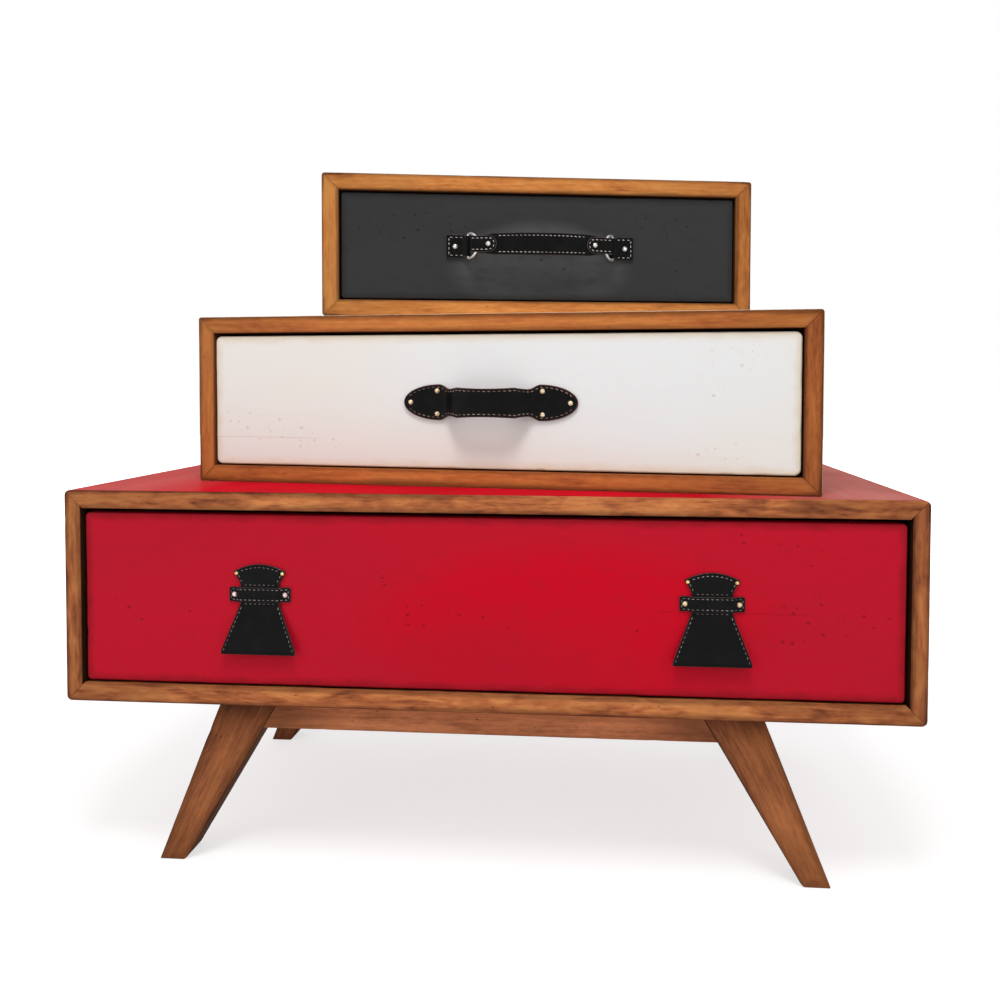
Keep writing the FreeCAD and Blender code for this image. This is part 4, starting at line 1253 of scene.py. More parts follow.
@dataclass
class Bend:
    """A line in a plane that a strip of leather follows, seen from its edge."""

    line: Array  # points of the line, close together
    measure: Array  # what tells the places on the line apart, rising along it

    @classmethod
    def through(
        cls, corners: Sequence[Pair], radii: float | Sequence[float], by_length: bool = False
    ) -> Bend:
        """Straight runs joined by arcs.

        At a corner the arc starts radius * tan(turn / 2) before it, and its points are
        start + way * r sin a + inward * r (1 - cos a).

        Args:
            corners: Corner points in order.
            radii: Radius of all the arcs, or of each.
            by_length: Whether places are told by the way along the line, and not by their
                first coordinate.

        Returns:
            The line.
        """
        points = np.array(corners, float)
        pieces = [points[:1]]
        rounds = np.broadcast_to(radii, len(points) - 2)
        for before, corner, after, radius in zip(points, points[1:], points[2:], rounds):
            way, leave = unit(corner - before), unit(after - corner)
            cross = way[0] * leave[1] - way[1] * leave[0]
            turn = atan2(abs(cross), float(way @ leave))
            inward = copysign(1.0, cross) * np.array([-way[1], way[0]])
            angle = np.linspace(0, turn, 24)[:, None]
            start = corner - way * radius * tan(turn / 2)
            pieces.append(start + way * radius * np.sin(angle) + inward * radius * (1 - np.cos(angle)))
        line = np.concatenate([*pieces, points[-1:]])
        length = lengths_along(line)
        even = np.linspace(0, length[-1], 1200)
        line = at_places(even, length, line)
        return cls(line, even if by_length else line[:, 0])

    def at(self, places: Array) -> tuple[Array, Array]:
        """Points of the line, and the directions square to it, on its right-hand side."""
        return tuple(at_places(places, self.measure, values) for values in (self.line, right_of(self.line)))


def gap_to(points: Array, outline: Array) -> Array:
    """Distance from each point to a closed line.

    It is the least distance to the line's segments: each point's foot on a segment is
    start + run * t, with t held between 0 and 1.

    Args:
        points: Points, (..., 3).
        outline: Points of the line in order, (n, 3).

    Returns:
        The distances, in the points' own arrangement.
    """
    run = np.roll(outline, -1, axis=0) - outline
    length = np.maximum((run**2).sum(1), 1e-18)
    away = points.reshape(-1, 1, 3) - outline
    t = np.clip((away * run).sum(2) / length, 0, 1)
    foot = away - run * t[..., None]
    return np.sqrt((foot**2).sum(2).min(1)).reshape(points.shape[:-1])


@dataclass
class Hide:
    """A cut piece of leather that follows a bend, with a rounded cut edge and a sewn crease."""

    bend: Bend  # the line that its middle follows
    grid: Array  # places on it, (rows, columns, 2): along the bend, and across it
    to_model: Change  # turns (the bend's two coordinates, across) into points
    thick: float
    round: float = 1.1 * MM  # how far in from the cut edge the face is rounded
    seam: float = 0.0  # distance of the sewn crease from the edge, or 0 for none

    def space(self, grid: Array, height: Array | float = 0.0) -> Array:
        """Points over the leather's middle, at a height towards its face."""
        points, out = self.bend.at(grid[..., 0])
        lifted = points + out * np.asarray(height)[..., None]
        return self.to_model(np.concatenate([lifted, grid[..., 1:]], axis=-1))

    def patches(self) -> list[Patch]:
        """The face and the back, which meet at the cut edge.

        With g the distance to the edge, a side's height over the middle is half the thickness
        times (1 - (1 - g/round)^3)^(1/3), and the face sinks along the seam.

        Returns:
            The face's patch and the back's.
        """
        middle = self.space(self.grid)
        outline = np.concatenate([middle[0], middle[1:, -1], middle[-1, -2::-1], middle[-2:0:-1, 0]])
        gap = gap_to(middle, outline)
        gap[0], gap[-1], gap[:, 0], gap[:, -1] = 0, 0, 0, 0
        inner = 1 - np.minimum(gap / self.round, 1)
        height = self.thick / 2 * (1 - inner**3) ** (1 / 3)
        crease = CREASE_DEPTH * np.exp(-(((gap - self.seam) / CREASE_WIDTH) ** 2)) if self.seam else 0.0
        return [Patch(self.space(self.grid, level), {"cut": gap}) for level in (height - crease, -height)]

    def stitches(self, row: Array, rng: np.random.Generator, pitch: float) -> list[Patch]:
        """Stitches along a row on the face.

        A stitch is a capsule of six sides. Its radius is r * sqrt(1 - q^2), and it dips at
        both ends by q^2 of its sink, with q from -1 to 1 along it.

        Args:
            row: A line on the leather, (n, 2) as the grid's places.
            rng: Source of the small differences between stitches.
            pitch: Distance from one stitch to the next.

        Returns:
            One patch for each stitch.
        """
        raised = np.full(len(row), self.thick / 2 - CREASE_DEPTH + STITCH_PROUD)
        line = self.space(row, raised)
        over = self.space(row, raised + MM) - line
        length = lengths_along(line)
        count = max(1, int(length[-1] / pitch))
        middles = (np.arange(count) + 0.5) * length[-1] / count
        reach = pitch * 0.32
        before, centre, after = (at_places(middles + off, length, line) for off in (-reach, 0.0, reach))
        way = unit(after - before)
        up = at_places(middles, length, over) / MM
        side = np.cross(way, up)
        slant = rng.normal(0.10, 0.05, (count, 1))
        way, side = way + side * slant, side - way * slant
        q = np.array([-1.0, -0.8, 0.0, 0.8, 1.0])[:, None]
        turn = np.linspace(0, 2 * pi, 7)
        radius = STITCH_RADIUS * np.sqrt(1 - q**2)
        shape = (reach * q + turn * 0, radius * np.cos(turn), radius * np.sin(turn) - STITCH_SINK * q**2)
        points = sum(
            part[None, ..., None] * axis[:, None, None] for part, axis in zip(shape, (way, side, up))
        )
        return [Patch(stitch) for stitch in points + centre[:, None, None]]


def dome(centre: Array, facing: Array, radius: float, height: float) -> Array:
    """A rivet's head: a thin flange with a dome on it, turned about its axis.

    Args:
        centre: The middle of its seat.
        facing: The direction that it faces.
        radius: The flange's radius.
        height: The dome's height.

    Returns:
        Its points, rows by columns by 3, from the middle of its underside to its top.
    """
    lift = np.linspace(0, pi / 2, 8)
    r = np.concatenate([[0, 0.75, 0.97, 1.0, 0.97, 0.88], 0.86 * np.cos(lift)]) * radius
    h = np.concatenate([[-0.5, -0.5, -0.3, 0.0, 0.16, 0.2], 0.2 + 0.8 * np.sin(lift)]) * height
    facing = unit(facing)
    side = np.cross(facing, [0.0, 0.0, 1.0])
    up = np.cross(side, facing)
    turn = np.linspace(0, 2 * pi, 25)[None, :, None]
    return r[:, None, None] * (np.cos(turn) * side + np.sin(turn) * up) + h[:, None, None] * facing + centre


@dataclass(frozen=True)
class Rivet:
    """One rivet on a handle, placed in the case."""

    x: float
    depth: float  # of its seat
    z: float
    size: Pair  # radius and height of its head
    turn: float = 0.0  # the way it faces, as a turn about z from straight ahead
    pearly: float = 0.0  # how silvery it is

    def patch(self, place: Place) -> Patch:
        """Its head, on a drawer whose case has the given axes."""
        way = np.array([-sin(self.turn), -cos(self.turn), 0.0]) @ place.axes()
        head = dome(place.out(np.array([self.x, self.depth, self.z])), way, *self.size)
        return Patch(head, {"pearly": np.full(head.shape[:2], self.pearly)})


@dataclass
class Handle:
    """What the handles share: the drawer that they are on, their leather, thread and metal."""

    drawer: Drawer
    leather: Leather
    thread: Thread
    metal: Metal  # of the rivets
    hide: float = 3.5 * MM  # the leather's thickness
    seam: float = 2.9 * MM  # from a cut edge to the stitches
    rivet: Pair = (3.2 * MM, 2.1 * MM)  # radius and height of a head
    pitch: float = 5.7 * MM  # from one stitch to the next

    def __post_init__(self) -> None:
        """Find the axes of the drawer's case, and the depth of its face there."""
        self.place, self.face = self.drawer.case.place, self.drawer.face

    def lying(self, x: float, z: float, sign: float = 1.0) -> Change:
        """Turns (along x, depth, across z) about a point of the drawer into model points."""
        return lambda spot: self.place.out(spot * (sign, 1.0, 1.0) + (x, 0.0, z))

    def standing(self, x: float, z: float) -> Change:
        """Turns (up z, depth, across x) about a point of the drawer into model points."""
        return lambda spot: self.place.out(spot[..., ::-1] + (x, 0.0, z))

    def leather_piece(self, node: str, hides: Sequence[Hide], rows: Sequence[Array]) -> None:
        """Make a leather piece, and its stitches along rows on its first hide.

        Args:
            node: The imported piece.
            hides: Its parts.
            rows: The rows, as places on the first hide.
        """
        patches = [patch for hide in hides for patch in hide.patches()]
        replace_node(node, patches, self.leather, self.drawer.body, "black_leather")
        rng = seeded(node)
        sewn = [stitch for row in rows for stitch in hides[0].stitches(row, rng, self.pitch)]
        make_piece(f"{node}_stitches", sewn, self.thread, self.drawer.body)

    def set_rivets(self, node: str, rivets: Sequence[Rivet], slot: str) -> None:
        """Make the handle's rivets as one piece."""
        patches = [rivet.patch(self.place) for rivet in rivets]
        replace_node(node, patches, self.metal, self.drawer.body, slot)


def round_ends(places: Array, reach: float, corner: float, half: Array | float) -> Array:
    """Half height of a strip with round corners, at places up to reach from its middle."""
    past = np.maximum(np.abs(places) - (reach - corner), 0)
    return half - corner + np.sqrt(np.maximum(corner**2 - past**2, 0))


def moved_in(line: Array, distance: float) -> Array:
    """A line on the leather moved square to itself, to its right."""
    return line + distance * right_of(line)


def mirrored(corners: list[Pair]) -> list[Pair]:
    """The corners of a left half, and then those of the right one."""
    return corners + [(-x, y) for x, y in reversed(corners)]


@dataclass
class RedPulls(Handle):
    """Two cut leather tabs whose skirts stand off the drawer, each under a keeper strap."""

    neck: Point = (25.0 * MM, 60.5 * MM, 82.0 * MM)  # half width, and the heights it runs between
    tip: Pair = (34.5 * MM, 100.8 * MM)  # half width between the tips of the top, and their height
    drop: float = 5.0 * MM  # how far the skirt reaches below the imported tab
    closer: float = 6.5 * MM  # how much nearer the drawer it hangs
    keeper_thick: float = 2.5 * MM
    keeper_round: float = 2.6 * MM  # of its corners
    ramp: float = 3.6 * MM  # width of the keeper's step up over the tab
    keeper_gap: float = 1.9 * MM  # between the tab's neck and that step
    small: Pair = (2.3 * MM, 1.5 * MM)  # the small rivets' head
    small_spot: Pair = (30.3 * MM, 98.8 * MM)  # theirs, from the tab's middle and foot
    keeper_spot: float = 33.4 * MM  # its rivets, from its middle
    keeper_taller: float = 0.8 * MM  # over its packed half height

    def build(self) -> None:
        """Make both pulls, their keepers and the rivets."""
        rivets = []
        for word, pearly in (("left", 1.0), ("right", 0.3)):
            tab = Span.of(f"red_{word}_pull", self.place)
            keeper = Span.of(f"red_{word}_keeper", self.place)
            self.build_tab(f"red_{word}_pull", tab)
            self.build_keeper(f"red_{word}_keeper", keeper)
            for sign in (-1, 1):
                x, z = tab.middle[0] + sign * self.small_spot[0], tab.low[2] + self.small_spot[1]
                rivets.append(Rivet(x, self.face - self.hide, z, self.small))
                x, depth = keeper.middle[0] + sign * self.keeper_spot, self.face - self.keeper_thick
                rivets.append(Rivet(x, depth, keeper.middle[2], self.rivet, pearly=pearly))
        self.set_rivets("red_pull_rivets", rivets, "brass")

    def half_width(self, level: Array, skirt: float) -> Array:
        """Half width of the tab at a height over its foot.

        It falls evenly from the skirt to the neck, keeps the neck's width, and then grows with
        the 1.45th power of the way to the tips.

        Args:
            level: The height.
            skirt: Half the skirt's width.

        Returns:
            The half width.
        """
        half, low, high = self.neck
        crown = rise(level, high, self.tip[1]) ** 1.45
        return half + (skirt - half) * rise(level, low, 0.0) + (self.tip[0] - half) * crown

    def build_tab(self, node: str, span: Span) -> None:
        """Make a tab and its stitches.

        Args:
            node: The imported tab.
            span: Its box.
        """
        skirt, peak = span.size[0] / 2, span.size[2]
        half, low, high = self.neck
        flat = self.face - self.hide / 2
        front = span.low[1] + self.closer
        slant = atan2(flat - self.hide / 2 - front, low + self.drop)
        foot = front + self.hide / 2 / cos(slant) + self.drop * tan(slant)
        lowest = self.drop + MM
        corners = [(-lowest, foot - tan(slant) * lowest), (low, flat), (peak + MM, flat)]
        v, u = (spread(110)[:, None] + 1) / 2, spread(84)[None, :]
        level = v * (self.tip[1] + self.drop) - self.drop
        crown = peak - self.tip[1]
        grid = joined(level + v**8 * crown * (1 - u**2), u * self.half_width(level, skirt))
        to_model = self.standing(span.middle[0], span.low[2])
        hide = Hide(Bend.through(corners, 3 * self.hide), grid, to_model, self.hide, seam=self.seam)
        top = np.linspace(-0.74, 0.74, 60)
        neck = np.linspace(-0.84, 0.84, 20) * half
        rows = [joined(self.tip[1] + crown * (1 - top**2) - self.seam * 1.4, top * self.tip[0])]
        rows += [joined(level, neck) for level in (high + 1.6 * MM, low - 1.6 * MM)]
        for sign in (-1, 1):
            for ends in ((3 * MM - self.drop, low - 3.4 * MM), (high + 3 * MM, self.tip[1] - 5 * MM)):
                levels = np.linspace(*ends, 40)
                side = joined(levels, -sign * self.half_width(levels, skirt))
                rows.append(moved_in(side, -sign * self.seam))
        self.leather_piece(node, [hide], rows)

    def build_keeper(self, node: str, span: Span) -> None:
        """Make a keeper and its stitches.

        Args:
            node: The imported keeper.
            span: Its box.
        """
        half, tall = span.size[0] / 2, span.size[2] / 2 + self.keeper_taller
        low = self.face - self.keeper_thick / 2
        step = self.neck[0] + self.ramp + self.keeper_gap
        corners = mirrored([(-half - MM, low), (-step, low), (-step + self.ramp, low - self.hide)])
        bend = Bend.through(corners, 0.6 * self.keeper_thick)
        x, v = half * spread(130)[:, None], spread(40)[None, :]
        grid = joined(x, v * round_ends(x, half, self.keeper_round, tall))
        to_model = self.lying(span.middle[0], span.middle[2])
        hide = Hide(bend, grid, to_model, self.keeper_thick, 0.8 * MM, self.seam)
        line = np.linspace(-1, 1, 120) * (half - self.seam)
        end = np.linspace(-1, 1, 12) * (tall - self.seam)
        rows = [joined(line, sign * (tall - self.seam)) for sign in (-1, 1)]
        rows += [joined(sign * (half - self.seam), end) for sign in (-1, 1)]
        self.leather_piece(node, [hide], rows)


@dataclass
class StrapHandle(Handle):
    """A strap with leaf-shaped ends, bowed out from the drawer between them."""

    leaf: float = 69.5 * MM  # distance of the leaves' widest part from the middle
    waist: Pair = (54.0 * MM, 18.2 * MM)  # distance and half height of the waists
    wide: Pair = (39.0 * MM, 20.2 * MM)  # the same of the middle part's shoulders
    slim: float = 1.5 * MM  # how much lower it is in the middle
    foot: float = 61.0 * MM  # from the middle to the bow's start
    top: float = 34.0 * MM  # from the middle to where it is flat again
    bow_round: Pair = (20.0 * MM, 45.0 * MM)  # radius of its bends at its feet and at its top
    tip_spot: float = 110.0 * MM  # the end rivets, from the middle
    leaf_spot: Pair = (72.5 * MM, 15.6 * MM)  # distance of the paired rivets, and their rise

    def half_height(self, x: Array, half: float, tall: float) -> Array:
        """Half height of the strap at a distance from its middle.

        The leaf is a quarter of an ellipse. From it the edge runs in to the waist with
        w^2 (3 - 2w) of the way w, and out to the shoulder with the 1.8th power of its way.

        Args:
            x: The distance.
            half: Half the strap's length.
            tall: Half height of the leaves.

        Returns:
            The half height.
        """
        far = np.abs(x)
        tip = tall * np.sqrt(np.maximum(1 - (np.maximum(far - self.leaf, 0) / (half - self.leaf)) ** 2, 0))
        neck = eased(rise(far, self.waist[0], self.leaf))
        shoulder = rise(far, self.waist[0], self.wide[0]) ** 1.8
        inner = self.waist[1] + (tall - self.waist[1]) * neck + (self.wide[1] - self.waist[1]) * shoulder
        inner = inner - self.slim * np.clip(1 - (far / self.wide[0]) ** 2, 0, 1)
        return np.where(far > self.leaf, tip, inner)

    def build(self) -> None:
        """Make the strap, its stitches and its rivets."""
        span = Span.of("white_handle_strap", self.place)
        half, tall, middle = span.size[0] / 2, span.size[2] / 2, span.middle
        low, high = self.face - self.hide / 2, span.low[1] + self.hide / 2
        corners = mirrored([(-half - MM, low), (-self.foot, low), (-self.top, high)])
        bend = Bend.through(corners, [*self.bow_round, *reversed(self.bow_round)])
        x, v = half * spread(260)[:, None], spread(48)[None, :]
        grid = joined(x, v * self.half_height(x, half, tall))
        hide = Hide(bend, grid, self.lying(middle[0], middle[2]), self.hide, seam=self.seam)
        places = np.linspace(-half + 1.5 * MM, half - 1.5 * MM, 600)
        upper = moved_in(joined(places, self.half_height(places, half, tall)), self.seam)
        upper = upper[np.abs(upper[:, 0]) < half - 7 * MM]
        self.leather_piece("white_handle_strap", [hide], [upper, upper * (1, -1)])
        across, up = self.leaf_spot
        spots = [(sign * self.tip_spot, 0.0) for sign in (-1, 1)]
        spots += [(sign * across, above * up) for sign in (-1, 1) for above in (-1, 1)]
        surface = self.face - self.hide
        rivets = [Rivet(middle[0] + x, surface, middle[2] + z, self.rivet, pearly=0.35) for x, z in spots]
        self.set_rivets("white_handle_rivets", rivets, "brass")


@dataclass
class RingHandle(Handle):
    """A bowed grip between two metal rings, each held to the drawer by a riveted tab.

    Everything is worked out for the left side. On the right one its sign is -1.
    """

    ring_metal: Metal = field(kw_only=True)
    wire: float = 1.9 * MM  # radius of a ring's wire
    eye_gap: float = 0.2 * MM  # between a ring and the leather round it
    bar: Pair = (103.0 * MM, 4.0 * MM)  # a ring's back bar: from the middle, and off the face
    ring_span: float = 20.0 * MM  # between a ring's two bars
    ring_turn: float = 68.0  # how far the rings stand out, in degrees
    ring_half: float = 17.0 * MM  # half the length of a ring's straight back bar
    ring_fore: float = 6.5 * MM  # its round side's reach past its packed bar
    ring_square: float = 2.1  # the n of its round side; 2 is half an ellipse
    ring_back: float = 3.4 * MM  # from its back bar to its widest part
    slope: float = 10.0  # how far loops and grip slope out, in degrees
    tab_half: float = 16.6 * MM  # half height of a tab
    tab_rivet: float = 12.7 * MM  # from its outer end
    loop_length: float = 34.0 * MM  # from its ring
    loop_width: float = 22.4 * MM
    loop_wall: float = 2.2 * MM
    loop_rivet: float = 11.5 * MM  # from its end
    loop_seam: float = 0.85  # its seam's distance from the edge, to the others'
    grip_from: float = 7.0 * MM  # from the ring to its end
    grip_straight: float = 38.0 * MM  # from the ring to its curve
    grip_half: Pair = (15.0 * MM, 15.6 * MM)  # half height outside its loops and in its middle
    grip_taper: float = 2.6 * MM  # how much less it is under the loops
    eye_width: float = 29.0 * MM  # of the strip that holds a ring to its tab
    eye_wall: float = 2.0 * MM

    def __post_init__(self) -> None:
        """Find the places of the rings' bars, as (x, depth), and the handle's height."""
        super().__post_init__()
        turn = radians(self.ring_turn)
        self.lean = radians(self.slope)
        self.bore = self.wire + self.eye_gap
        self.back = (-self.bar[0], self.face - self.bar[1])
        x, depth = self.back
        self.fore = (x + self.ring_span * cos(turn), depth - self.ring_span * sin(turn))
        self.level = Span.of("charcoal_handle_grip", self.place).middle[2]

    def sloped(self, along: Array | float, back: Array | float = 0.0) -> tuple[Array, Array]:
        """The place (x, depth) at a way down the slope from the fore bar, and back from it."""
        c, s = cos(self.lean), sin(self.lean)
        return self.fore[0] + along * c + back * s, self.fore[1] - along * s + back * c

    def build(self) -> None:
        """Make the tabs, loops, grip, rivets and rings."""
        rivets, rings = [], []
        for word, sign in (("left", 1), ("right", -1)):
            tab = Span.of(f"charcoal_handle_{word}_tab", self.place)
            outer = -np.abs([tab.low[0], tab.high[0]]).max()
            self.build_tab(word, sign, outer)
            self.build_loop(word, sign)
            rings.append(self.ring_patch(sign))
            x, y = outer + self.tab_rivet, self.face - self.hide
            rivets.append(Rivet(sign * x, y, self.level, self.rivet))
            x, y = self.sloped(self.loop_length - self.loop_rivet, -self.bore - self.loop_wall)
            rivets.append(Rivet(sign * x, y, self.level, self.rivet, sign * self.lean))
        self.build_grip()
        self.set_rivets("charcoal_handle_rivets", rivets, "chrome")
        replace_node("charcoal_handle_rings", rings, self.ring_metal, self.drawer.body, "chrome")

    def ring_patch(self, sign: int) -> Patch:
        """A ring that is flat at the back and round to the fore.

        With a all the way round, the line is at half * sign(sin a) |sin a|^(2/n) across and
        length * |cos a|^(2/n) forwards or back. Its wire is a circle carried along, square to
        the line.

        Args:
            sign: 1 on the left and -1 on the right.

        Returns:
            The closed wire.
        """
        way = np.array(self.sloped(self.ring_fore)) - np.array(self.back)
        reach = float(np.linalg.norm(way))
        way = way / reach
        angle = np.linspace(-pi / 2, pi * 3 / 2, 97)[:-1]
        power = 2 / self.ring_square
        length = np.where(np.cos(angle) > 0, reach - self.ring_back, -self.ring_back)
        line = joined(
            self.ring_back + length * np.abs(np.cos(angle)) ** power,
            self.ring_half * np.sign(np.sin(angle)) * np.abs(np.sin(angle)) ** power,
        )
        ahead = unit(np.roll(line, -1, axis=0) - np.roll(line, 1, axis=0))
        turn = np.linspace(0, 2 * pi, 15)
        square = joined(ahead[:, 1], -ahead[:, 0])
        flat = line[:, None] + self.wire * np.cos(turn)[:, None] * square[:, None]
        off = self.wire * np.sin(turn)
        x = self.back[0] + flat[..., 0] * way[0] - off * way[1]
        y = self.back[1] + flat[..., 0] * way[1] + off * way[0]
        points = self.place.out(joined(sign * x, y, self.level + flat[..., 1]))
        return Patch(np.concatenate([points, points[:1]]), {"pearly": np.ones((len(points) + 1, len(turn)))})

    def build_tab(self, word: str, sign: int, outer: float) -> None:
        """Make a tab: a square plate, and a strip from under it round the ring to its top.

        Args:
            word: The side's name.
            sign: 1 on the left and -1 on the right.
            outer: The tab's outer end.
        """
        flat, half, back = self.face - self.hide / 2, self.tab_half, self.back
        inner = back[0] - self.wire - 1.4 * MM
        reach, middle = (inner - outer) / 2, (inner + outer) / 2
        plate = Bend.through([(-reach - MM, flat), (0.0, flat), (reach + MM, flat)], MM)
        x, v = reach * spread(60)[:, None], spread(60)[None, :]
        grid = joined(x, v * round_ends(x, reach, 2.4 * MM, half))
        side = Hide(plate, grid, self.lying(sign * middle, self.level, sign), self.hide, seam=self.seam)
        centre = self.bore + self.eye_wall / 2
        under, over = self.face - self.eye_wall / 2 - 0.1 * MM, back[1] - centre
        corners = [
            (inner - 1.0 * MM, under), (back[0] + centre, under), (back[0] + centre, over),
            (back[0] - 2.0 * MM, over), (inner - 3.5 * MM, self.face - self.hide + self.eye_wall * 0.2),
        ]
        strip = Bend.through(corners, 0.93 * centre, by_length=True)
        wrap = joined((spread(90)[:, None] + 1) * strip.measure[-1] / 2, spread(40) * self.eye_width / 2)
        eye = Hide(strip, wrap, self.lying(0.0, self.level, sign), self.eye_wall, 0.7 * MM)
        run, above = reach - self.seam, half - self.seam
        line = np.linspace(-run, reach - 1.5 * MM, 40)
        rows = [joined(line, end * above) for end in (-1, 1)]
        rows.append(joined(-run, np.linspace(-above, above, 30)))
        self.leather_piece(f"charcoal_handle_{word}_tab", [side, eye], rows)

    def build_loop(self, word: str, sign: int) -> None:
        """Make a strap loop: folded round the ring, with round ends behind and before the grip.

        Args:
            word: The side's name.
            sign: 1 on the left and -1 on the right.
        """
        layer, half, gap = self.bore + self.loop_wall / 2, self.loop_width / 2, self.seam * self.loop_seam
        corners = [(self.loop_length, layer), (-layer, layer), (-layer, -layer), (self.loop_length, -layer)]
        bend = Bend.through(corners, 0.999 * layer, by_length=True)
        long = bend.measure[-1]
        to_model = self.lying(0.0, self.level, sign)

        def sloped(spot: Array) -> Array:
            """Turns (along the slope, back from it, across z) into points of the model."""
            return to_model(joined(*self.sloped(spot[..., 0], spot[..., 1]), spot[..., 2]))

        a, v = (spread(170)[:, None] + 1) * long / 2, spread(44)[None, :]
        grid = joined(a, v * round_ends(a - long / 2, long / 2, half, half))
        hide = Hide(bend, grid, sloped, self.loop_wall, 0.8 * MM, gap)
        end = long - half
        straight = np.linspace(long - self.loop_length - 1.5 * MM, end, 30)
        angle = np.linspace(pi / 2, -pi / 2, 30)[1:-1]
        row = np.concatenate([
            joined(straight, half - gap),
            joined(end + (half - gap) * np.cos(angle), (half - gap) * np.sin(angle)),
            joined(straight[::-1], gap - half),
        ])
        self.leather_piece(f"charcoal_handle_{word}_loop", [hide], [row])

    def build_grip(self) -> None:
        """Make the grip: straight in its loops and on one long arc between them."""
        first, start = self.sloped(self.grip_from), self.sloped(self.grip_straight)
        peak = (0.0, start[1] + start[0] * tan(self.lean))
        bend = Bend.through([first, peak, (-first[0], first[1])], -start[0] / sin(self.lean) * 0.999)
        x, v = -first[0] * spread(220)[:, None], spread(48)[None, :]
        ends, middle = self.grip_half
        taper_ends = [-self.sloped(far)[0] for far in (12 * MM, self.loop_length)]
        taper = self.grip_taper * (1 - eased(rise(np.abs(x), *taper_ends)))

        def half_height(places: Array) -> Array:
            """Half height of the grip without its taper: a hump of 1 - (x / start)^2."""
            return ends + (middle - ends) * np.clip(1 - (places / start[0]) ** 2, 0, 1)

        grid = joined(x, v * round_ends(x, -first[0], 2 * MM, half_height(x) - taper))
        hide = Hide(bend, grid, self.lying(0.0, self.level), 2 * self.bore, 1.5 * MM, self.seam)
        edge = self.sloped(self.loop_length + 1.5 * MM)[0]
        line = np.linspace(edge, -edge, 200)
        rows = [joined(line, sign * (half_height(line) - self.seam)) for sign in (-1, 1)]
        self.leather_piece("charcoal_handle_grip", [hide], rows)


def place_object(name: str, data: bpy.types.ID, axes: Sequence[Array], place: Point) -> bpy.types.Object:
    """Put a camera or a lamp into the scene.

    Args:
        name: Its name.
        data: The camera or the lamp.
        axes: Its own x, y and z directions.
        place: Where it stands.

    Returns:
        The new object.
    """
    made = bpy.data.objects.new(name, data)
    turn = Matrix(axes).transposed().to_4x4()
    turn.translation = place
    made.matrix_world = turn
    bpy.context.scene.collection.objects.link(made)
    return made


@dataclass(frozen=True)
class Lamp:
    """A square soft lamp."""

    name: str
    place: Point
    aim: Point
    size: float
    power: float

    def build(self) -> None:
        """Make the lamp, facing its aim."""
        data = bpy.data.lights.new(self.name, "AREA")
        data.shape, data.size, data.energy = "SQUARE", self.size, self.power
        back = unit(np.array(self.place) - np.array(self.aim))
        side = unit(np.cross([0.0, 0.0, 1.0], back))
        place_object(self.name, data, (side, np.cross(back, side), back), self.place)


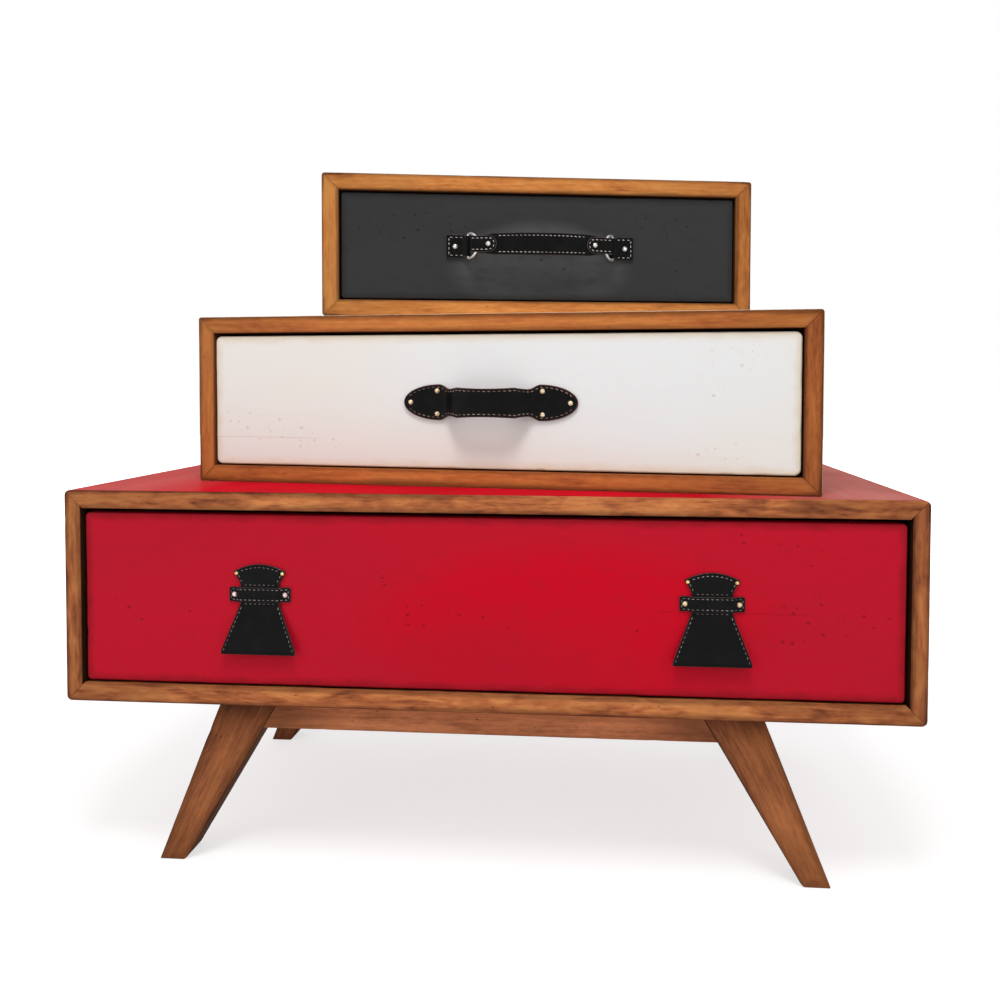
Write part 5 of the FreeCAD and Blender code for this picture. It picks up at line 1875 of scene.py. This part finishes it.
@dataclass
class Studio:
    """The floor, the light and the camera."""

    eye: Point = (0.155319, -1.260749, 0.645869)  # the camera's
    yaw: float = 0.0709234  # its turn to the left, in radians
    pitch: float = 0.0310526  # how far it looks down
    roll: float = 0.00307847  # how far it leans
    focal: float = 29.4636  # in millimetres, on a sensor 36 mm wide
    shift: Pair = (-0.04747, -0.08818)  # across and up
    ambient: float = 0.66
    glow: float = 0.66  # how much the floor shines near the chest, where it is seen
    half_floor: float = 9.0
    lamps: tuple[Lamp, ...] = (
        Lamp("key_lamp", (0.05, -1.2, 2.6), (0.0, -0.15, 0.45), 0.7, 30.5),
        Lamp("left_lamp", (-2.2, -1.8, 1.4), (0.0, 0.0, 0.45), 1.4, 9.0),
        Lamp("right_lamp", (2.4, -1.6, 1.6), (0.0, 0.0, 0.45), 1.4, 7.0),
    )

    def build(self) -> None:
        """Make the camera, the surroundings, the floor and the lamps."""
        self.build_camera()
        self.build_surroundings()
        self.build_floor()
        for lamp in self.lamps:
            lamp.build()
        bpy.context.scene.view_settings.view_transform = "Standard"

    def build_camera(self) -> None:
        """Make the camera, whose x and up are turned by the roll about its line of sight."""
        right = np.array([cos(self.yaw), sin(self.yaw), 0.0])
        ahead = np.array([-sin(self.yaw), cos(self.yaw), 0.0]) * cos(self.pitch)
        ahead[2] = -sin(self.pitch)
        up = np.cross(right, ahead)
        x = right * cos(self.roll) + up * sin(self.roll)
        y = up * cos(self.roll) - right * sin(self.roll)
        data = bpy.data.cameras.new("camera")
        data.sensor_width, data.lens = 36.0, self.focal
        data.shift_x, data.shift_y = self.shift
        bpy.context.scene.camera = place_object("camera", data, (x, y, -ahead), self.eye)

    def build_surroundings(self) -> None:
        """White where it is seen, and an even soft light on everything else."""
        world = bpy.data.worlds.new("studio")
        world.use_nodes = True
        bpy.context.scene.world = world
        world.node_tree.nodes.clear()
        nodes = Nodes(world.node_tree)
        light, white = (
            nodes.node("ShaderNodeBackground", sockets={"Color": WHITE, "Strength": strength})
            for strength in (self.ambient, 1.0)
        )
        nodes.node("ShaderNodeOutputWorld", sockets={"Surface": nodes.either(nodes.seen(), light, white)})

    def build_floor(self) -> None:
        """A pale floor that is white where it is seen, but for the chest's shadow."""
        mesh = bpy.data.meshes.new("floor")
        far = self.half_floor
        corners = [(-far, -far, 0), (far, -far, 0), (far, far, 0), (-far, far, 0)]
        mesh.from_pydata(corners, [], [(0, 1, 2, 3)])
        floor = bpy.data.objects.new("floor", mesh)
        bpy.context.scene.collection.objects.link(floor)
        floor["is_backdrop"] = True
        material = bpy.data.materials.new("floor")
        material.use_nodes = True
        material.node_tree.nodes.clear()
        nodes = Nodes(material.node_tree)
        away = nodes.node("ShaderNodeVectorMath", {"operation": "LENGTH"}, {0: nodes.here()}, "Value")
        glow = self.glow + away.step(0.8, 2.6)
        shown, plain = (
            nodes.node("ShaderNodeBsdfDiffuse", sockets={"Color": (grey, grey, grey, 1.0)})
            for grey in (0.46, 0.62)
        )
        lit = nodes.node("ShaderNodeEmission", sockets={"Strength": glow})
        both = nodes.node("ShaderNodeAddShader", sockets={0: shown, 1: lit})
        nodes.node("ShaderNodeOutputMaterial", sockets={"Surface": nodes.either(nodes.seen(), plain, both)})
        mesh.materials.append(material)


MITRE_RIM = Rim(0.45 * MM, 8.0 * MM, 0.4)  # of all three cases


def make_cases() -> list[Case]:
    """The three cases, from the lowest up.

    Returns:
        The cases.
    """
    # Each case wood's second rim darkens the boards beside the drawer opening: stain, and painted shade of
    # the recess.
    lower_wood = StainedWood(
        "lower_wood", tone(213, 137, 80), tone(181, 105, 62), tone(106, 54, 35),
        (Rim(3.2 * MM, 10.0 * MM, 0.6), Rim(1.0 * MM, 11.0 * MM, 0.55), MITRE_RIM),
        0.4, Rim(0.1 * MM, 0.2, 0.36), 0.14, 0.62, 0.53,
    )
    middle_wood = StainedWood(
        "middle_wood", tone(206, 128, 66), tone(182, 104, 54), tone(130, 68, 36),
        (Rim(3.6 * MM, 10.5 * MM, 0.7), Rim(1.0 * MM, 8.0 * MM, 0.48), MITRE_RIM),
        0.28, Rim(0.1 * MM, 0.2, 0.28), 0.14, 0.26, 0.52,
    )
    upper_wood = StainedWood(
        "upper_wood", tone(220, 148, 79), tone(195, 122, 62), tone(138, 76, 38),
        (Rim(2.6 * MM, 8.0 * MM, 0.52), Rim(1.2 * MM, 8.0 * MM, 0.75), MITRE_RIM),
        0.28, Rim(0.1 * MM, 0.2, 0.3), 0.14, 0.3, 0.52,
    )
    cream, charcoal = tone(228, 222, 212), tone(48, 48, 49)
    # The last colour of each case finish is the inside's dark stain, which also stands in for the shade in
    # the drawer gaps: painted shade.
    red_case = CaseFinish(
        "red_case", lower_wood, tone(192, 18, 34), tone(120, 14, 20), tone(178, 108, 99), tone(30, 20, 16)
    )
    white_case = CaseFinish("white_case", middle_wood, cream, tone(196, 178, 150), cream, tone(100, 58, 38))
    charcoal_case = CaseFinish(
        "charcoal_case", upper_wood, charcoal, tone(28, 26, 26), charcoal, tone(70, 44, 30)
    )
    return [
        # The lower case's (0.5, 0.85) is where its top's painted reflection starts and is full.
        Case(
            "lower", 0.0, red_case, (0.0, 0.0, -0.01, -0.03),
            (3.0 * MM, 3.4 * MM, 0.0, 0.0), 8.5 * MM, (0.5, 0.85),
        ),
        Case("middle", -6.5, white_case, (0.02, 0.01, 0.13, -0.07)),
        Case("upper", 8.5, charcoal_case, (0.01, 0.03, 0.1, -0.06)),
    ]


def make_drawers(cases: Sequence[Case]) -> list[Drawer]:
    """A drawer for each case, from the lowest up.

    Args:
        cases: The cases.

    Returns:
        Their drawers.
    """
    # Each front's clear area is a painted pool of light: on the red it lightens the middle and leaves the top
    # darker as painted shade under the board above, and on the charcoal it fills in the shade under the grip.
    red = DrawerPaint(
        "red_front", tone(192, 20, 42), tone(178, 22, 40), tone(122, 15, 25), tone(88, 11, 18),
        tone(203, 6, 34), Area(0.11, -0.03, 0.30, 0.13), 0.0135, pit_depth=0.56,
        pitted=(
            Area(-0.44, -0.018, 0.085, 0.022), Area(-0.085, -0.016, 0.075, 0.018),
            Area(0.44, 0.0, 0.10, 0.024), Area(0.087, 0.004, 0.03, 0.016), Area(0.40, 0.07, 0.07, 0.02),
        ),
        cracks=(Crack(0.215, 0.42, -0.004),),
    )
    white = DrawerPaint(
        "white_front", tone(232, 229, 224), tone(232, 227, 220), tone(222, 202, 172), tone(176, 144, 122),
        tone(231, 231, 231), Area(0.12, 0.03, 0.36, 0.12), 0.014, scatter=0.8, pit_depth=0.32,
        pitted=(
            Area(-0.33, -0.035, 0.12, 0.026), Area(-0.24, -0.062, 0.06, 0.014),
            Area(0.30, -0.062, 0.05, 0.016), Area(0.34, 0.062, 0.07, 0.024), Area(0.29, 0.018, 0.03, 0.016),
        ),
        cracks=(Crack(-0.43, -0.23, -0.052),),
    )
    charcoal = DrawerPaint(
        "charcoal_front", tone(53, 53, 54), tone(46, 46, 47), tone(38, 36, 34), tone(20, 19, 19),
        tone(84, 84, 85), Area(0.0, -0.028, 0.14, 0.073), scatter=0.58, pit_depth=0.48,
        pitted=(Area(-0.2, 0.03, 0.07, 0.03), Area(0.2, 0.035, 0.08, 0.02)),
    )
    trims = (
        (5.0 * MM, 2.2 * MM, 1.5 * MM, 1.5 * MM), (0.7 * MM, -1.4 * MM, -2.0 * MM, -1.0 * MM),
        (-1.0 * MM, -1.5 * MM, -0.9 * MM, -0.9 * MM),
    )
    return [
        Drawer(cases[0], red, "red_paint", trims[0]),
        Drawer(cases[1], white, "white_paint", trims[1], 8.5 * MM),
        Drawer(cases[2], charcoal, "charcoal_paint", trims[2], 4.0 * MM, 1.8 * MM),
    ]


def make_stand() -> Stand:
    """The stand with its two finishes.

    Returns:
        The stand.
    """
    # The legs' first rim also darkens their whole inner side face, and their second lays a painted shadow
    # reaching 70 mm down from the case above.
    leg_wood = StainedWood(
        "leg_wood", tone(196, 122, 73), tone(159, 97, 61), tone(103, 58, 39),
        (Rim(2.4 * MM, 17.0 * MM, 0.6), Rim(2.0 * MM, 70.0 * MM, 0.82), Rim(1.6 * MM, 26.0 * MM, 0.55)),
    )
    apron_wood = StainedWood(
        "apron_wood", tone(226, 146, 98), tone(198, 124, 83), tone(136, 80, 54),
        (Rim(1.0 * MM, 6.0 * MM, 0.3), Rim(1.6 * MM, 24.0 * MM, 0.4), Rim(0.1 * MM, 1.0 * MM, 0.0)),
        ends=Rim(0.1 * MM, 0.13, 0.62),
    )
    return Stand(leg_wood, apron_wood)


def make_handles(drawers: Sequence[Drawer]) -> list[Handle]:
    """The handles of each drawer, from the lowest up.

    Args:
        drawers: The drawers.

    Returns:
        Their handles.
    """
    black = tone(11, 10, 11)
    # The grey cut-edge colours of the pull and grip leathers are partly painted highlight: paler than the
    # edges' own dye, so the edges that face up read as shine.
    leather = Leather("pull_leather", black, tone(58, 50, 50), 0.7 * MM)
    strap = Leather("strap_leather", black, tone(76, 38, 33), 1.6 * MM)
    grip = Leather("grip_leather", black, tone(76, 70, 68), 0.7 * MM)
    grey = Thread("grey_thread", tone(146, 137, 130), tone(98, 90, 85))
    tan = Thread("tan_thread", tone(158, 134, 124), tone(102, 78, 70))
    cream = Thread("cream_thread", tone(196, 188, 180), tone(138, 126, 118))
    gold = Metal("gold", tone(216, 190, 136), tone(156, 120, 72), 0.24)
    silver = Metal("silver", tone(206, 203, 199), tone(150, 147, 143), 0.26, tone(226, 225, 223))
    bright = Metal("ring_metal", tone(226, 225, 223), tone(186, 184, 181), 0.42, tone(230, 229, 227))
    return [
        RedPulls(drawers[0], leather, grey, gold),
        StrapHandle(drawers[1], strap, tan, gold, seam=3.8 * MM, pitch=6.8 * MM),
        RingHandle(drawers[2], grip, cream, silver, seam=4.1 * MM, ring_metal=bright),
    ]


def main() -> list[list[float]]:
    """Build the studio and the chest.

    Returns:
        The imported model's lowest and highest corners.
    """
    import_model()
    packed = [list(corner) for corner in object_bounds()]
    Studio().build()
    cases = make_cases()
    drawers = make_drawers(cases)
    for piece in (*cases, *drawers):
        piece.build()
        piece.dress()
    for piece in (make_stand(), *make_handles(drawers)):
        piece.build()
    dress_node("wood_screws", Metal("steel", tone(176, 172, 166), tone(120, 116, 110), 0.35))
    return packed


if __name__ == "__main__":
    logging.basicConfig(level=logging.INFO, format="%(name)s: %(message)s")
    packed_box = main()
